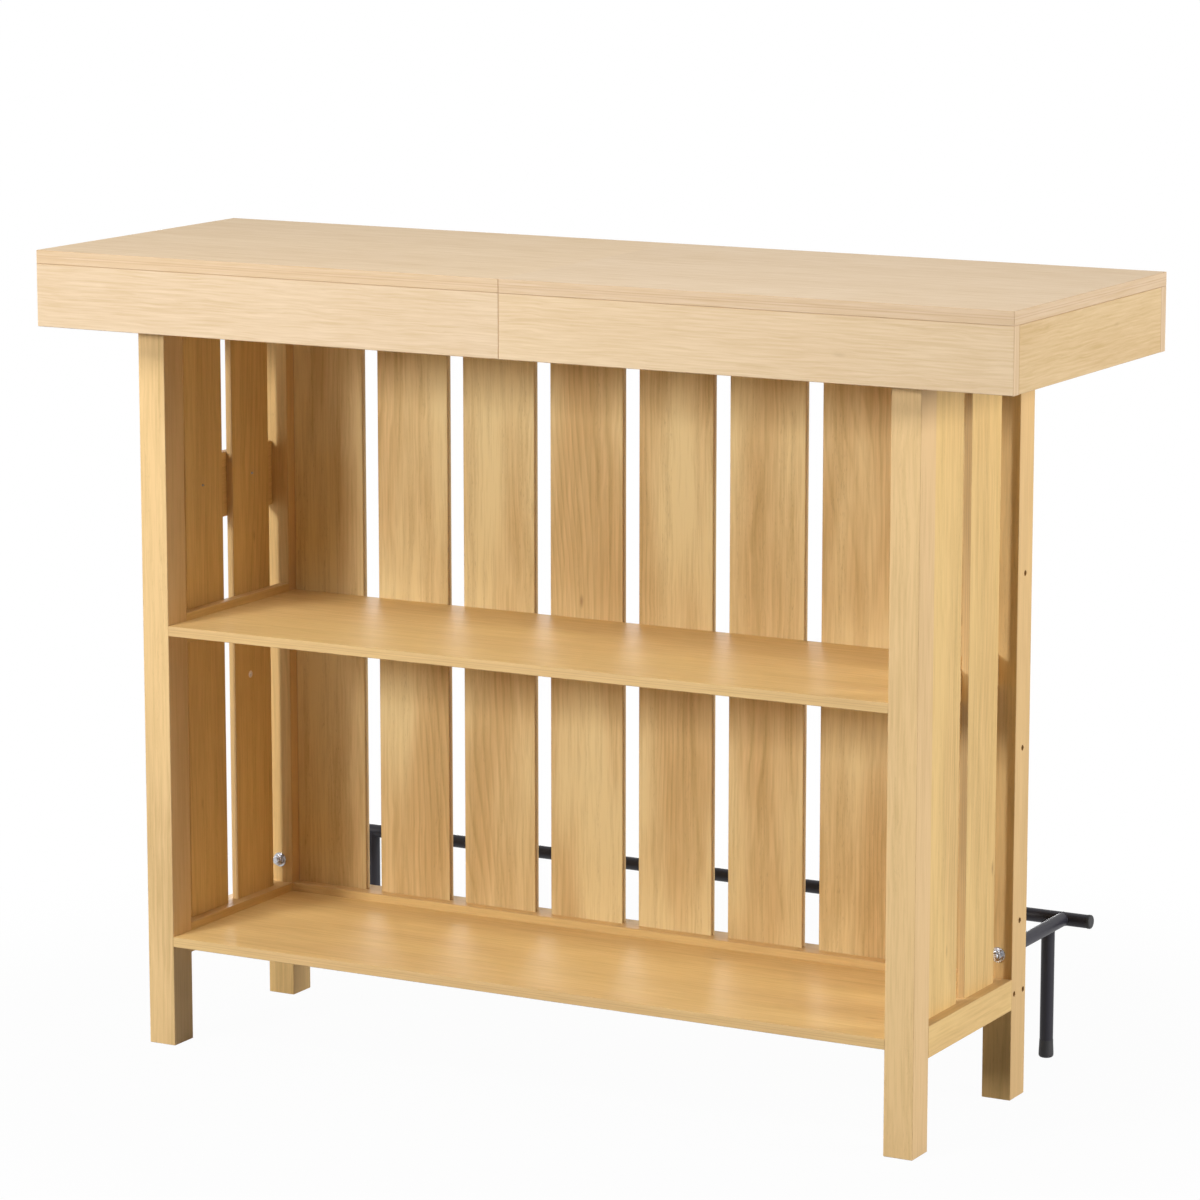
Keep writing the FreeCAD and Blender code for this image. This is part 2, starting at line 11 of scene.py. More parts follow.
import bmesh
import bpy
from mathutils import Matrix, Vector


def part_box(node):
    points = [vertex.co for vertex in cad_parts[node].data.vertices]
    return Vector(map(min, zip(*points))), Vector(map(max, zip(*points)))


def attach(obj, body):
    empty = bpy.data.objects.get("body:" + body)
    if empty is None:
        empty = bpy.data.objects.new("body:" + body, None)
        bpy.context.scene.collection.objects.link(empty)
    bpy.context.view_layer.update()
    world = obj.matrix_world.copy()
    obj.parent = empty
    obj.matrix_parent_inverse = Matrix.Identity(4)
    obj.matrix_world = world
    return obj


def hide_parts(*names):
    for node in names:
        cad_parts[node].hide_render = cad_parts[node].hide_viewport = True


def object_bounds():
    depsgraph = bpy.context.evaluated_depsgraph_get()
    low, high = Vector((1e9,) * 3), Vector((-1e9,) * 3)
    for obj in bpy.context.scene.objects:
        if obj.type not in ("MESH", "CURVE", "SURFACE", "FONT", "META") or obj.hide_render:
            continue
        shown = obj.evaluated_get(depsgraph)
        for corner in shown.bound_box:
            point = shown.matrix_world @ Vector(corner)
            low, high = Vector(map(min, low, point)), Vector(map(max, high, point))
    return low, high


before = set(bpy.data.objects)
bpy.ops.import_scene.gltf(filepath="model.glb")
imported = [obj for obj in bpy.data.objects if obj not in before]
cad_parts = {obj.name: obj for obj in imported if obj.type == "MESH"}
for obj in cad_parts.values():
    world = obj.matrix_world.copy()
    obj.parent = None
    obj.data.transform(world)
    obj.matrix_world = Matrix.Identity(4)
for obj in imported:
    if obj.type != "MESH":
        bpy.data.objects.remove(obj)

for startup_name in ("Cube", "Light", "Camera"):
    if startup_name in bpy.data.objects:
        bpy.data.objects.remove(bpy.data.objects[startup_name])
solid_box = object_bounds()


def mm(*metres):
    """Sizes as text in millimetres, for printing."""
    return " x ".join("%.1f" % (size * 1000) for size in metres) + " mm"


print("solid model of", len(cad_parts), "nodes,", mm(*(solid_box[1] - solid_box[0])))

# %% [markdown]
# ## Wiring nodes like sums
# A wood finish needs a few dozen Math nodes. Placed by hand in code they hide the idea, so a small class
# wraps a node's output, and plain arithmetic on it adds the Math nodes. One method adds every other kind
# of node: first its settings, then what goes into its sockets.

# %% Wires and benches
MIX_FIRST, MIX_SECOND, MIX_RESULT = 6, 7, 2  # a Mix node's colour sockets, by number


class Wire:
    """One output of a node. Arithmetic on it adds a Math node and gives that node's output."""

    def __init__(self, bench, socket):
        self.bench = bench
        self.socket = socket

    def output(self, name):
        """Another output of the same node."""
        return Wire(self.bench, self.socket.node.outputs[name])

    def math(self, operation, *others):
        return self.bench.add("ShaderNodeMath", {"operation": operation}, (self, *others))

    def __add__(self, other):
        return self.math("ADD", other)

    def __sub__(self, other):
        return self.math("SUBTRACT", other)

    def __rsub__(self, other):
        return self.bench.add("ShaderNodeMath", {"operation": "SUBTRACT"}, (other, self))

    def __mul__(self, other):
        return self.math("MULTIPLY", other)

    __radd__ = __add__
    __rmul__ = __mul__


class Bench:
    """A node tree being wired, for a material or for geometry."""

    def __init__(self, tree):
        self.tree = tree

    def add(self, kind, settings=None, inputs=(), output=0):
        """Adds a node: its settings first, then a value, a wire or a list of wires for each socket."""
        node = self.tree.nodes.new(kind)
        for name, value in (settings or {}).items():
            if name == "stops":
                self.set_stops(node.color_ramp, value)
            else:
                setattr(node, name, value)
        plugs = inputs if isinstance(inputs, dict) else dict(enumerate(inputs))
        for key, value in plugs.items():
            wires = value if isinstance(value, list) else [value]
            for wire in wires:
                if isinstance(wire, Wire):
                    self.tree.links.new(wire.socket, node.inputs[key])
                else:
                    node.inputs[key].default_value = wire
        return Wire(self, node.outputs[output]) if node.outputs else None

    @staticmethod
    def set_stops(ramp, stops):
        """Puts a ramp's grey stops where they are wanted."""
        while len(ramp.elements) < len(stops):
            ramp.elements.new(1.0)
        for element, (place, grey) in zip(ramp.elements, stops):
            element.position = place
            element.color = (grey, grey, grey, 1.0)

    def place(self):
        """Where a point lies on its object, in metres."""
        return self.add("ShaderNodeTexCoord", output="Object")

    def vector(self, operation, *values):
        return self.add("ShaderNodeVectorMath", {"operation": operation}, values)

    def split(self, vector):
        """A vector's X, whose node has the others too."""
        return self.add("ShaderNodeSeparateXYZ", {}, (vector,))

    def join(self, x=0.0, y=0.0, z=0.0):
        """A vector from its three parts."""
        return self.add("ShaderNodeCombineXYZ", {}, (x, y, z))

    def blend(self, factor, first, second):
        """Colour between two colours."""
        plugs = {"Factor": factor, MIX_FIRST: first, MIX_SECOND: second}
        return self.add("ShaderNodeMix", {"data_type": "RGBA"}, plugs, output=MIX_RESULT)

    def fade(self, value, start, end):
        """0 before start, 1 after end, and a smooth rise between them."""
        plugs = {"Value": value, "From Min": start, "From Max": end}
        return self.add("ShaderNodeMapRange", {"interpolation_type": "SMOOTHSTEP"}, plugs)

    def noise(self, place, waves, detail=2.0, rough=0.5):
        """Soft noise from 0 to 1, with its own number of waves to the metre along each axis."""
        scaled = self.vector("MULTIPLY", place, waves)
        plugs = {"Vector": scaled, "Scale": 1.0, "Detail": detail, "Roughness": rough}
        return self.add("ShaderNodeTexNoise", {}, plugs)

    def bump(self, strength, depth, height):
        """Normal of a surface that rises by a depth in metres as the height goes from 0 to 1."""
        return self.add("ShaderNodeBump", {}, {"Strength": strength, "Distance": depth, "Height": height})


def new_material(name):
    """An empty material and the bench to wire it on."""
    material = bpy.data.materials.new(name)
    material.use_nodes = True
    material.node_tree.nodes.clear()
    return material, Bench(material.node_tree)


def close_material(bench, **sockets):
    """Ends a material with a Principled surface. A socket's name has _ for each space."""
    plugs = {name.replace("_", " "): value for name, value in sockets.items()}
    surface = bench.add("ShaderNodeBsdfPrincipled", {}, plugs)
    bench.add("ShaderNodeOutputMaterial", {}, {"Surface": surface})


print("bench ready")

# %% [markdown]
# ## Which way a board's grain runs
# Wood could be a picture, but then every edge and end needs one too. Here it is a solid pattern in space,
# so each board first gets coordinates of its own: along the grain, across it and through the board. A shift
# moves them to another part of the tree. A narrow edge is banded with a glued-on strip, and its normal
# tells it from the faces. On an end the strip's grain runs across the board, so there the first two
# coordinates swap.

# %% The grain's coordinates
AXES = "XYZ"
SHIFT_STRETCH = (7.3, 1.9, 3.1)  # metres along, across and through that a shift of 1 moves the pattern
END_FACING = 0.75  # a face that looks more than this along the grain is an end
BAND_FACING = 0.7  # a face that looks less than this through the board is a banded edge
FLAT_FACING = 0.985  # a face that looks less than this along every axis is a rounded edge


def board_space(bench, along, across, shift):
    """A board's grain coordinates in metres, its true depth, and masks of its rounded and banded edges."""
    places = bench.split(bench.place())
    faces = bench.split(bench.add("ShaderNodeNewGeometry", output="True Normal"))
    facing = {axis: faces.output(axis).math("ABSOLUTE") for axis in AXES}
    through = (set(AXES) - {along, across}).pop()
    run = places.output(along)
    width = places.output(across)
    depth = places.output(through)
    swap = (width - run) * facing[along].math("GREATER_THAN", END_FACING)
    flattest = facing["X"].math("MAXIMUM", facing["Y"]).math("MAXIMUM", facing["Z"])
    rounded = flattest.math("LESS_THAN", FLAT_FACING)
    banded = facing[through].math("LESS_THAN", BAND_FACING)
    own = (run + swap, width - swap, depth)
    shifted = [place + shift * stretch for place, stretch in zip(own, SHIFT_STRETCH)]
    return bench.join(*shifted), depth, rounded, banded


print("grain coordinates ready")

# %% [markdown]
# ## Oak-grain laminate
# The boards are faced with a pale oak laminate: short wavy streaks a few millimetres wide, broad soft
# clouds, patches of fine dark pores, here and there the nested flames of a flat-sawn plank, and a few small
# knots. Each is a noise stretched along the grain, and most are pushed sideways by a slower one, so that
# they sway as grown wood does. The edge bands are straighter and tan, with two fine dark lines of the
# board's layered core. Round one drilled hole the facing has chipped off.

# %% Oak
OAK_PALE = (0.800, 0.552, 0.228, 1.0)
OAK_ROSY = (0.785, 0.524, 0.224, 1.0)
# a paler, whiter oak, mixed in as painted sheen on the top, the aprons and the front legs
OAK_PAINTED_SHEEN = (0.775, 0.618, 0.458, 1.0)
OAK_STREAK = (0.510, 0.325, 0.115, 1.0)
OAK_KNOT = (0.300, 0.150, 0.060, 1.0)
BAND_TAN = (0.640, 0.420, 0.235, 1.0)
# brown of the core lines, and of the rounded edges, where it is partly the laminate's own edge line and
# partly painted shade in the joints between boards
CORE_LINE_AND_EDGE_SHADE = (0.400, 0.200, 0.090, 1.0)
RAW_CORE = (0.950, 0.830, 0.740, 1.0)

STREAK_WAVES = (13.0, 370.0, 370.0)  # waves to the metre along, across and through a board
BROAD_WAVES = (3.0, 70.0, 70.0)
CLOUD_WAVES = (2.2, 11.0, 11.0)
HILL_WAVES = (1.1, 7.5, 7.5)
SWAY_WAVES = (13.0, 24.0, 24.0)
KNOT_WAVES = (5.0, 16.0, 16.0)
PORE_WAVES = (110.0, 820.0, 820.0)

SWAY = 0.006  # metres that the grain is pushed sideways
RING_GAP = 0.012  # metres between two flames where the wood is level
FLAME_RINGS = 11.0  # flames that a hill in the wood adds
RING_STOPS = ((0.0, 0.0), (0.18, 1.0), (0.45, 0.35), (1.0, 0.0))
RING_CLOUDS = (0.42, 0.66)  # flames start and are full where the clouds reach these levels
ROSY_CLOUDS = (0.35, 0.70)
KNOT_REACH = 0.07  # in knot waves
PORE_LEVELS = (0.60, 0.72)
PORE_PATCHES = (0.45, 0.65)
CORE_LINES = (-0.0011, 0.0019)  # metres from the middle of a board's thickness
CORE_LINE_EDGE = (0.0002, 0.0007)
CHIP_REACH = 0.0046  # metres round a drilled hole where the facing has chipped off
CHIP_EDGE = 0.0006
COPY_SHIFT = 10.0  # shift of a copy whose random number is 1

STREAK_SHARE = 0.95
BROAD_SHARE = 0.35
RING_SHARE = 0.16
CLOUD_SHARE = 0.30
FIGURE_LEVEL = 0.16
PORE_SHARE = 0.10
KNOT_SHARE = 0.35
BAND_SHARE = 0.28
CORE_LINE_SHARE = 0.24
EDGE_LINE_AND_SHADE_SHARE = 0.22
OAK_GLOSS = 0.22
OAK_ROUGHNESS = 0.54
OAK_ROUGHNESS_RANGE = 0.2
PORE_BUMP = 0.15
PORE_DEPTH = 0.0003


def oak(
    name, along, across, shift, middle=None, flame=FLAME_RINGS, painted_sheen=0.0, bold=1.0, dark=0.0, pale=OAK_PALE,
    gloss=OAK_GLOSS, attribute=None, chip=None,
):
    """Oak laminate with its grain along one axis.

    shift, or an attribute that each copy has, picks its part of the tree. middle is the depth of the core.
    """
    material, bench = new_material(name)
    if attribute:
        shift = bench.add("ShaderNodeAttribute", {"attribute_name": attribute}, output="Fac") * COPY_SHIFT
    grain, depth, rounded, banded = board_space(bench, along, across, shift)
    facing = 1.0 - banded

    sway = (bench.noise(grain, SWAY_WAVES) - 0.5) * SWAY * facing
    bent = bench.vector("ADD", grain, bench.join(y=sway, z=sway))
    streak = bench.noise(bent, STREAK_WAVES, detail=3.0, rough=0.55)
    broad = bench.noise(bent, BROAD_WAVES)
    cloud = bench.noise(grain, CLOUD_WAVES)

    hill = bench.noise(grain, HILL_WAVES, detail=1.0)
    rings = bench.split(bent).output("Y") * (1 / RING_GAP) + hill * flame
    ring = bench.add("ShaderNodeValToRGB", {"stops": RING_STOPS}, (rings.math("FRACT"),))
    ring = ring * bench.fade(cloud, *RING_CLOUDS) * facing

    slow = (broad - 0.5) * BROAD_SHARE + ring * RING_SHARE + (cloud - 0.5) * CLOUD_SHARE
    figure = (streak - 0.5) * STREAK_SHARE + slow * bold + (FIGURE_LEVEL + dark)
    tint = figure.math("MAXIMUM", 0.0).math("MINIMUM", 1.0)
    base = bench.blend(bench.fade(cloud, *ROSY_CLOUDS), pale, OAK_ROSY)
    # Mixing towards the paler, whiter oak paints the sheen that light gives the top, the aprons and the front
    # legs.
    base = bench.blend(painted_sheen, base, OAK_PAINTED_SHEEN)
    colour = bench.blend(tint, base, OAK_STREAK)

    pore = bench.fade(bench.noise(bent, PORE_WAVES, detail=1.0), *PORE_LEVELS)
    pore = pore * bench.fade(broad, *PORE_PATCHES) * (PORE_SHARE * bold) * facing
    colour = bench.blend(pore, colour, OAK_KNOT)
    knot_place = bench.vector("MULTIPLY", grain, KNOT_WAVES)
    knot = bench.add("ShaderNodeTexVoronoi", {}, {"Vector": knot_place, "Scale": 1.0})
    knot = 1.0 - bench.fade(knot, 0.0, KNOT_REACH)
    colour = bench.blend(knot * (KNOT_SHARE * bold), colour, OAK_KNOT)

    colour = bench.blend(banded * BAND_SHARE, colour, BAND_TAN)
    if middle is not None:
        aside = [(depth - (middle + line)).math("ABSOLUTE") for line in CORE_LINES]
        lines = sum(1.0 - bench.fade(distance, *CORE_LINE_EDGE) for distance in aside)
        colour = bench.blend(lines * banded * CORE_LINE_SHARE, colour, CORE_LINE_AND_EDGE_SHADE)
    # Rounded edges are darkened: partly the laminate's own edge line, partly painted shade in the joints
    # between boards.
    colour = bench.blend(rounded * EDGE_LINE_AND_SHADE_SHARE, colour, CORE_LINE_AND_EDGE_SHADE)
    if chip is not None:
        flat_place = bench.vector("MULTIPLY", bench.place(), (0.0, 1.0, 1.0))
        away = bench.vector("DISTANCE", flat_place, chip).output("Value")
        chipped = 1.0 - bench.fade(away, CHIP_REACH, CHIP_REACH + CHIP_EDGE)
        colour = bench.blend(chipped, colour, RAW_CORE)

    rough = OAK_ROUGHNESS + (streak - 0.5) * OAK_ROUGHNESS_RANGE
    normal = bench.bump(PORE_BUMP, PORE_DEPTH, streak)
    close_material(bench, Base_Color=colour, Roughness=rough, Normal=normal, Specular_IOR_Level=gloss)
    return material


print("oak ready")

# %% [markdown]
# ## Each board its own oak
# No two boards of a counter are cut from the same spot, so each gets a shift of its own. One finish for all
# of them would be quicker, but then the same knot would turn up on board after board. The top and the
# aprons have a calmer figure than the legs and the slats. They, the end aprons and the front legs are
# mixed towards a paler, whiter oak, which is painted sheen.

# %% Oak, by board
def pairs(*stems):
    """Names of the left and the right piece of each pair."""
    return tuple(stem + side for stem in stems for side in ("_left", "_right"))


LYING_BOARDS = (*pairs("top_board"), "shelf_middle", "shelf_lower")
LONG_BOARDS = LYING_BOARDS + pairs("apron_front", "apron_back") + (
    "rail_lower_back", "rail_upper_back", "rail_upper_front", "cleat_middle_back",
    "apron_joint_block_front", "apron_joint_block_back",
)
CROSS_BOARDS = (
    *pairs("apron_side", "rail_lower", "rail_upper"), "rail_upper_centre", *pairs("cleat_middle"),
    "side_tie_board",
)
LEGS = pairs("leg_front", "leg_back")
SIDE_SLATS = ("side_slat_left_front", "side_slat_left_back", "side_slat_right_front", "side_slat_right_back")
LONG_SHIFTS = (0.4, 1.37)  # a row's first shift, and the step from each board to the next
CROSS_SHIFTS = (0.9, 1.71)
LEG_SHIFTS = (1.6, 2.13)
SIDE_SLAT_SHIFTS = (10.1, 2.13)

# How far each board is mixed towards the paler, whiter oak: painted sheen, set board by board where the light
# falls.
PAINTED_SHEEN_SHARES = {
    "top_board_left": 0.80, "top_board_right": 0.88, "apron_front_left": 0.80, "apron_front_right": 0.70,
    "apron_back_left": 0.80, "apron_back_right": 0.80, "apron_side_left": 0.50, "apron_side_right": 0.50,
    "leg_front_left": 0.18, "leg_front_right": 0.22,
}
CALM = 0.5  # how bold the figure is on the long boards that get painted sheen
LEG_BOLD = 1.8
SIDE_SLAT_BOLD = 2.0
SIDE_APRON_DARK = 0.2
TOP_GLOSS = 0.08
OAK_LEG = (0.845, 0.565, 0.232, 1.0)
CHIPPED = {"side_slat_left_back": (0.0, -0.02225, 0.469)}  # a board's free hole, without its x


def dress(node, material):
    """Gives a solid of the model its finish."""
    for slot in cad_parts[node].material_slots:
        slot.material = material


def core_of(node, axis):
    """Middle of a node's thickness along one axis."""
    low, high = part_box(node)
    return (low[AXES.index(axis)] + high[AXES.index(axis)]) / 2


def face_with_oak(board, along, across, shifts, index, through=None, **look):
    """Faces one board of a row with an oak of its own, whose core lies midway through it."""
    first, step = shifts
    middle = core_of(board, through) if through else None
    painted_sheen = PAINTED_SHEEN_SHARES.get(board, 0.0)
    dress(board, oak("oak_" + board, along, across, step * index + first, middle, painted_sheen=painted_sheen, **look))


for index, board in enumerate(LONG_BOARDS):
    across, through = ("Y", "Z") if board in LYING_BOARDS else ("Z", "Y")
    bold = CALM if board in PAINTED_SHEEN_SHARES else 1.0
    gloss = TOP_GLOSS if board.startswith("top_board") else OAK_GLOSS
    face_with_oak(board, "X", across, LONG_SHIFTS, index, through, bold=bold, gloss=gloss)
for index, board in enumerate(CROSS_BOARDS):
    dark = SIDE_APRON_DARK if board in PAINTED_SHEEN_SHARES else 0.0
    face_with_oak(board, "Y", "Z", CROSS_SHIFTS, index, "X", dark=dark)
for index, board in enumerate(LEGS):
    face_with_oak(board, "Z", "X", LEG_SHIFTS, index, bold=LEG_BOLD, pale=OAK_LEG)
for index, board in enumerate(SIDE_SLATS):
    face_with_oak(board, "Z", "Y", SIDE_SLAT_SHIFTS, index, "X", bold=SIDE_SLAT_BOLD, chip=CHIPPED.get(board))
print(len(LONG_BOARDS) + len(CROSS_BOARDS) + len(LEGS) + len(SIDE_SLATS), "boards faced with oak")

# %% [markdown]
# ## Steel, rubber and beech
# The foot rail is tube steel with a satin black powder coat, which levels into a fine orange peel. The
# bolts and angles are bright zinc plate, whose crystals scatter light unevenly. The feet and end caps
# are matt moulded rubber, and the dowels and glue blocks are raw beech with small darker flecks.

# %% The small finishes
SKIN_DEPTH = 0.0002  # metres that a surface's skin rises and falls

ZINC_COLOURS = (0.36, 0.36, 0.38, 1.0), (0.60, 0.60, 0.62, 1.0)
CRYSTAL_WAVES = 700.0
RUB_WAVES = (120.0, 120.0, 120.0)
RUB_BUMP = 0.1
ZINC_ROUGHNESS = 0.18
CRYSTAL_ROUGHNESS = 0.14

BEECH_COLOURS = (0.72, 0.52, 0.34, 1.0), (0.58, 0.38, 0.23, 1.0)
FIBRE_WAVES = (220.0, 220.0, 220.0)
FIBRE_BUMP = 0.2
FLECK_COLOUR = (0.40, 0.23, 0.13, 1.0)
FLECK_WAVES = (700.0, 700.0, 300.0)
FLECK_LEVELS = (0.58, 0.68)
FLECK_SHARE = 0.5
BEECH_ROUGHNESS = 0.6
FLECK_ROUGHNESS = 0.1


def skinned(name, colours, waves, skin_waves, bump, roughness, roughness_range, detail=2.0, **sockets):
    """Two colours with a cloud between them, under a finely moulded skin."""
    material, bench = new_material(name)
    place = bench.place()
    cloud = bench.noise(place, waves, detail)
    colour = bench.blend(cloud, *colours)
    normal = bench.bump(bump, SKIN_DEPTH, bench.noise(place, skin_waves))
    rough = roughness + cloud * roughness_range
    close_material(bench, Base_Color=colour, Roughness=rough, Normal=normal, **sockets)
    return material


def zinc():
    """Bright zinc plate, rubbed in places."""
    material, bench = new_material("zinc_plate")
    place = bench.place()
    plugs = {"Vector": place, "Scale": CRYSTAL_WAVES}
    grey = bench.split(bench.add("ShaderNodeTexVoronoi", {}, plugs, output="Color"))
    rub = bench.noise(place, RUB_WAVES, detail=3.0)
    colour = bench.blend(rub, *ZINC_COLOURS)
    normal = bench.bump(RUB_BUMP, SKIN_DEPTH, rub)
    rough = ZINC_ROUGHNESS + grey * CRYSTAL_ROUGHNESS
    close_material(bench, Base_Color=colour, Metallic=1.0, Roughness=rough, Normal=normal)
    return material


def beech():
    """Raw beech with small darker flecks."""
    material, bench = new_material("beech_raw")
    place = bench.place()
    fibre = bench.noise(place, FIBRE_WAVES, detail=3.0, rough=0.6)
    fleck = bench.fade(bench.noise(place, FLECK_WAVES, detail=1.0), *FLECK_LEVELS)
    colour = bench.blend(fleck * FLECK_SHARE, bench.blend(fibre, *BEECH_COLOURS), FLECK_COLOUR)
    normal = bench.bump(FIBRE_BUMP, SKIN_DEPTH, fibre)
    rough = BEECH_ROUGHNESS + fleck * FLECK_ROUGHNESS
    close_material(bench, Base_Color=colour, Roughness=rough, Normal=normal)
    return material


STEEL_COAT = skinned(
    "powder_coat_black", ((0.0105, 0.0095, 0.0150, 1.0), (0.0200, 0.0180, 0.0280, 1.0)),
    waves=(40.0, 40.0, 40.0), skin_waves=(900.0, 900.0, 900.0), bump=0.25, roughness=0.42,
    roughness_range=0.10, Specular_IOR_Level=0.36,
)
ZINC = zinc()
RUBBER = skinned(
    "rubber_black", ((0.012, 0.012, 0.013, 1.0), (0.030, 0.029, 0.031, 1.0)),
    waves=(60.0, 60.0, 25.0), skin_waves=(1400.0, 1400.0, 1400.0), bump=0.3, roughness=0.56,
    roughness_range=0.15, detail=3.0,
)
BEECH = beech()
for finish, parts in (
    (STEEL_COAT, ("foot_rail_tube", *pairs("foot_rail_arm", "foot_rail_post"))),
    (RUBBER, ("foot_rail_end_caps",)),
    (ZINC, ("seam_plate", "top_brackets")),
    (BEECH, ("apron_corner_blocks",)),
):
    for part in parts:
        dress(part, finish)
    print(finish.name, "on", ", ".join(parts))

# %% [markdown]
# ## Geometry Nodes as a workshop jig
# A jig makes the same piece many times. A node tree with named inputs is such a jig: it takes sizes and a
# list of places, puts a copy at each, joins the copies into one mesh and gives it its material. The
# result is then kept as a plain mesh and the modifier goes, so that nothing depends on the tree later.

# %% Making and running a tree
SOCKETS = {  # kinds of the inputs that aren't plain numbers
    "Geometry": "Geometry", "Material": "Material", "Object": "Object", "Count": "Int", "Seed": "Int",
    "First": "Vector", "Step": "Vector",
}


def geometry_bench(name, labels):
    """A geometry tree with a named input for each label, and those inputs' wires."""
    tree = bpy.data.node_groups.new(name, "GeometryNodeTree")
    for label in labels:
        kind = "NodeSocket" + SOCKETS.get(label, "Float")
        tree.interface.new_socket(label, in_out="INPUT", socket_type=kind)
    tree.interface.new_socket("Geometry", in_out="OUTPUT", socket_type="NodeSocketGeometry")
    bench = Bench(tree)
    group = bench.add("NodeGroupInput")
    return bench, {label: group.output(label) for label in labels}


def close_tree(bench, shape, material):
    """Ends a tree: copies become real faces and get their material."""
    real = bench.add("GeometryNodeRealizeInstances", {}, (shape,))
    faced = bench.add("GeometryNodeSetMaterial", {}, {"Geometry": real, "Material": material})
    bench.add("NodeGroupOutput", {}, (faced,))
    return bench.tree


def new_object(name, data):
    """An object in the scene."""
    thing = bpy.data.objects.new(name, data)
    bpy.context.scene.collection.objects.link(thing)
    return thing


def run_tree(name, tree, values, source=None):
    """Runs a tree on a mesh and keeps the result as a plain mesh object at the origin."""
    piece = new_object(name, source or bpy.data.meshes.new(name))
    modifier = piece.modifiers.new("jig", "NODES")
    modifier.node_group = tree
    for item in tree.interface.items_tree:
        if item.in_out == "INPUT" and item.name in values:
            modifier[item.identifier] = values[item.name]
    graph = bpy.context.evaluated_depsgraph_get()
    built = bpy.data.meshes.new_from_object(
        piece.evaluated_get(graph), preserve_all_data_layers=True, depsgraph=graph,
    )
    piece.modifiers.remove(modifier)
    piece.data = built
    built.name = name
    print("%-18s %6d faces" % (name, len(built.polygons)))
    return piece


def settle(piece, slot, *nodes):
    """The piece rides with the counter and stands for the solids it remakes. slot is not used."""
    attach(piece, "root")
    if nodes:
        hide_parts(*nodes)


print("jig ready")

# %% [markdown]
# ## The slats of the back
# Eight equal boards close the guests' side, with gaps wide enough to see through. One rounded rectangle,
# filled and pulled up to the slat's height, is the board; a line of points repeats it. Each copy carries
# a random number that its oak reads, so no two slats are cut from the same part of the tree.

# %% Back slats
BACK_SLATS = 8
SLAT_EDGE = 0.0012
SLAT_EDGE_STEPS = 3
SLAT_SEED = 11
# a little painted sheen on the back slats
SLAT_PAINTED_SHEEN = 0.1
SLAT_BOLD = 2.4
SLAT_FLAME_RINGS = 16.0
# a lighter oak than the other boards' own: painted light on the back slats inside the counter
OAK_SLAT_PAINTED_LIGHT = (0.910, 0.710, 0.350, 1.0)
JOIN_REACH = 0.00001  # points nearer than this become one
RANDOM_FLOAT = 1  # a Random Value node's output for numbers


def slat_row_tree():
    """Rounded upright boards at equal steps, each with its own random number."""
    labels = ("Count", "First", "Step", "Width", "Thickness", "Height", "Edge", "Seed", "Material")
    bench, sizes = geometry_bench("slat_row", labels)
    plugs = {"Width": sizes["Width"], "Height": sizes["Thickness"]}
    outline = bench.add("GeometryNodeCurvePrimitiveQuadrilateral", {}, plugs)
    plugs = {"Curve": outline, "Count": SLAT_EDGE_STEPS, "Radius": sizes["Edge"]}
    eased = bench.add("GeometryNodeFilletCurve", {"mode": "POLY"}, plugs)
    foot = bench.add("GeometryNodeFillCurve", {"mode": "NGONS"}, {"Curve": eased})
    plugs = {"Mesh": foot, "Offset": bench.join(z=sizes["Height"]), "Individual": False}
    body = bench.add("GeometryNodeExtrudeMesh", {}, plugs)
    sole = bench.add("GeometryNodeFlipFaces", {}, (foot,))
    whole = bench.add("GeometryNodeJoinGeometry", {}, {"Geometry": [body, sole]})
    closed = bench.add("GeometryNodeMergeByDistance", {}, {"Geometry": whole, "Distance": JOIN_REACH})
    plugs = {"Count": sizes["Count"], "Start Location": sizes["First"], "Offset": sizes["Step"]}
    row = bench.add("GeometryNodeMeshLine", {"mode": "OFFSET"}, plugs)
    copies = bench.add("GeometryNodeInstanceOnPoints", {}, {"Points": row, "Instance": closed})
    pick = bench.add("FunctionNodeRandomValue", {}, {"Seed": sizes["Seed"]}, output=RANDOM_FLOAT)
    plugs = {"Geometry": copies, "Name": "board", "Value": pick}
    marked = bench.add("GeometryNodeStoreNamedAttribute", {"domain": "INSTANCE"}, plugs)
    return close_tree(bench, marked, sizes["Material"])


back_slat_nodes = ["back_slat_%d" % (index + 1) for index in range(BACK_SLATS)]
first_low, first_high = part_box(back_slat_nodes[0])
second_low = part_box(back_slat_nodes[1])[0]
slat_size = first_high - first_low
slat_foot = (first_low + first_high) / 2
slat_foot.z = first_low.z
slat_oak = oak(
    "oak_slats_back", "Z", "X", 0.0, slat_foot.y, flame=SLAT_FLAME_RINGS, painted_sheen=SLAT_PAINTED_SHEEN, bold=SLAT_BOLD,
    pale=OAK_SLAT_PAINTED_LIGHT, attribute="board",
)
slats = run_tree(
    "slats_back", slat_row_tree(),
    {
        "Count": BACK_SLATS, "First": slat_foot, "Step": second_low - first_low,
        "Width": slat_size.x, "Thickness": slat_size.y, "Height": slat_size.z, "Edge": SLAT_EDGE,
        "Seed": SLAT_SEED, "Material": slat_oak,
    },
)
settle(slats, "oak_laminate", *back_slat_nodes)
print(BACK_SLATS, "slats of", mm(*slat_size))

# %% [markdown]
# ## Turned shapes
# Dowels, screws, studs and nuts are all turned on a lathe, or nearly: a hexagon is only a radius that
# changes with the angle, and a thread one that changes with the height too. So one function builds them
# all from a list of rings.

# %% A lathe whose radius may follow the angle
TURN = 2 * math.pi
SHARP_FROM = 38  # degrees between two faces from which their edge stays sharp


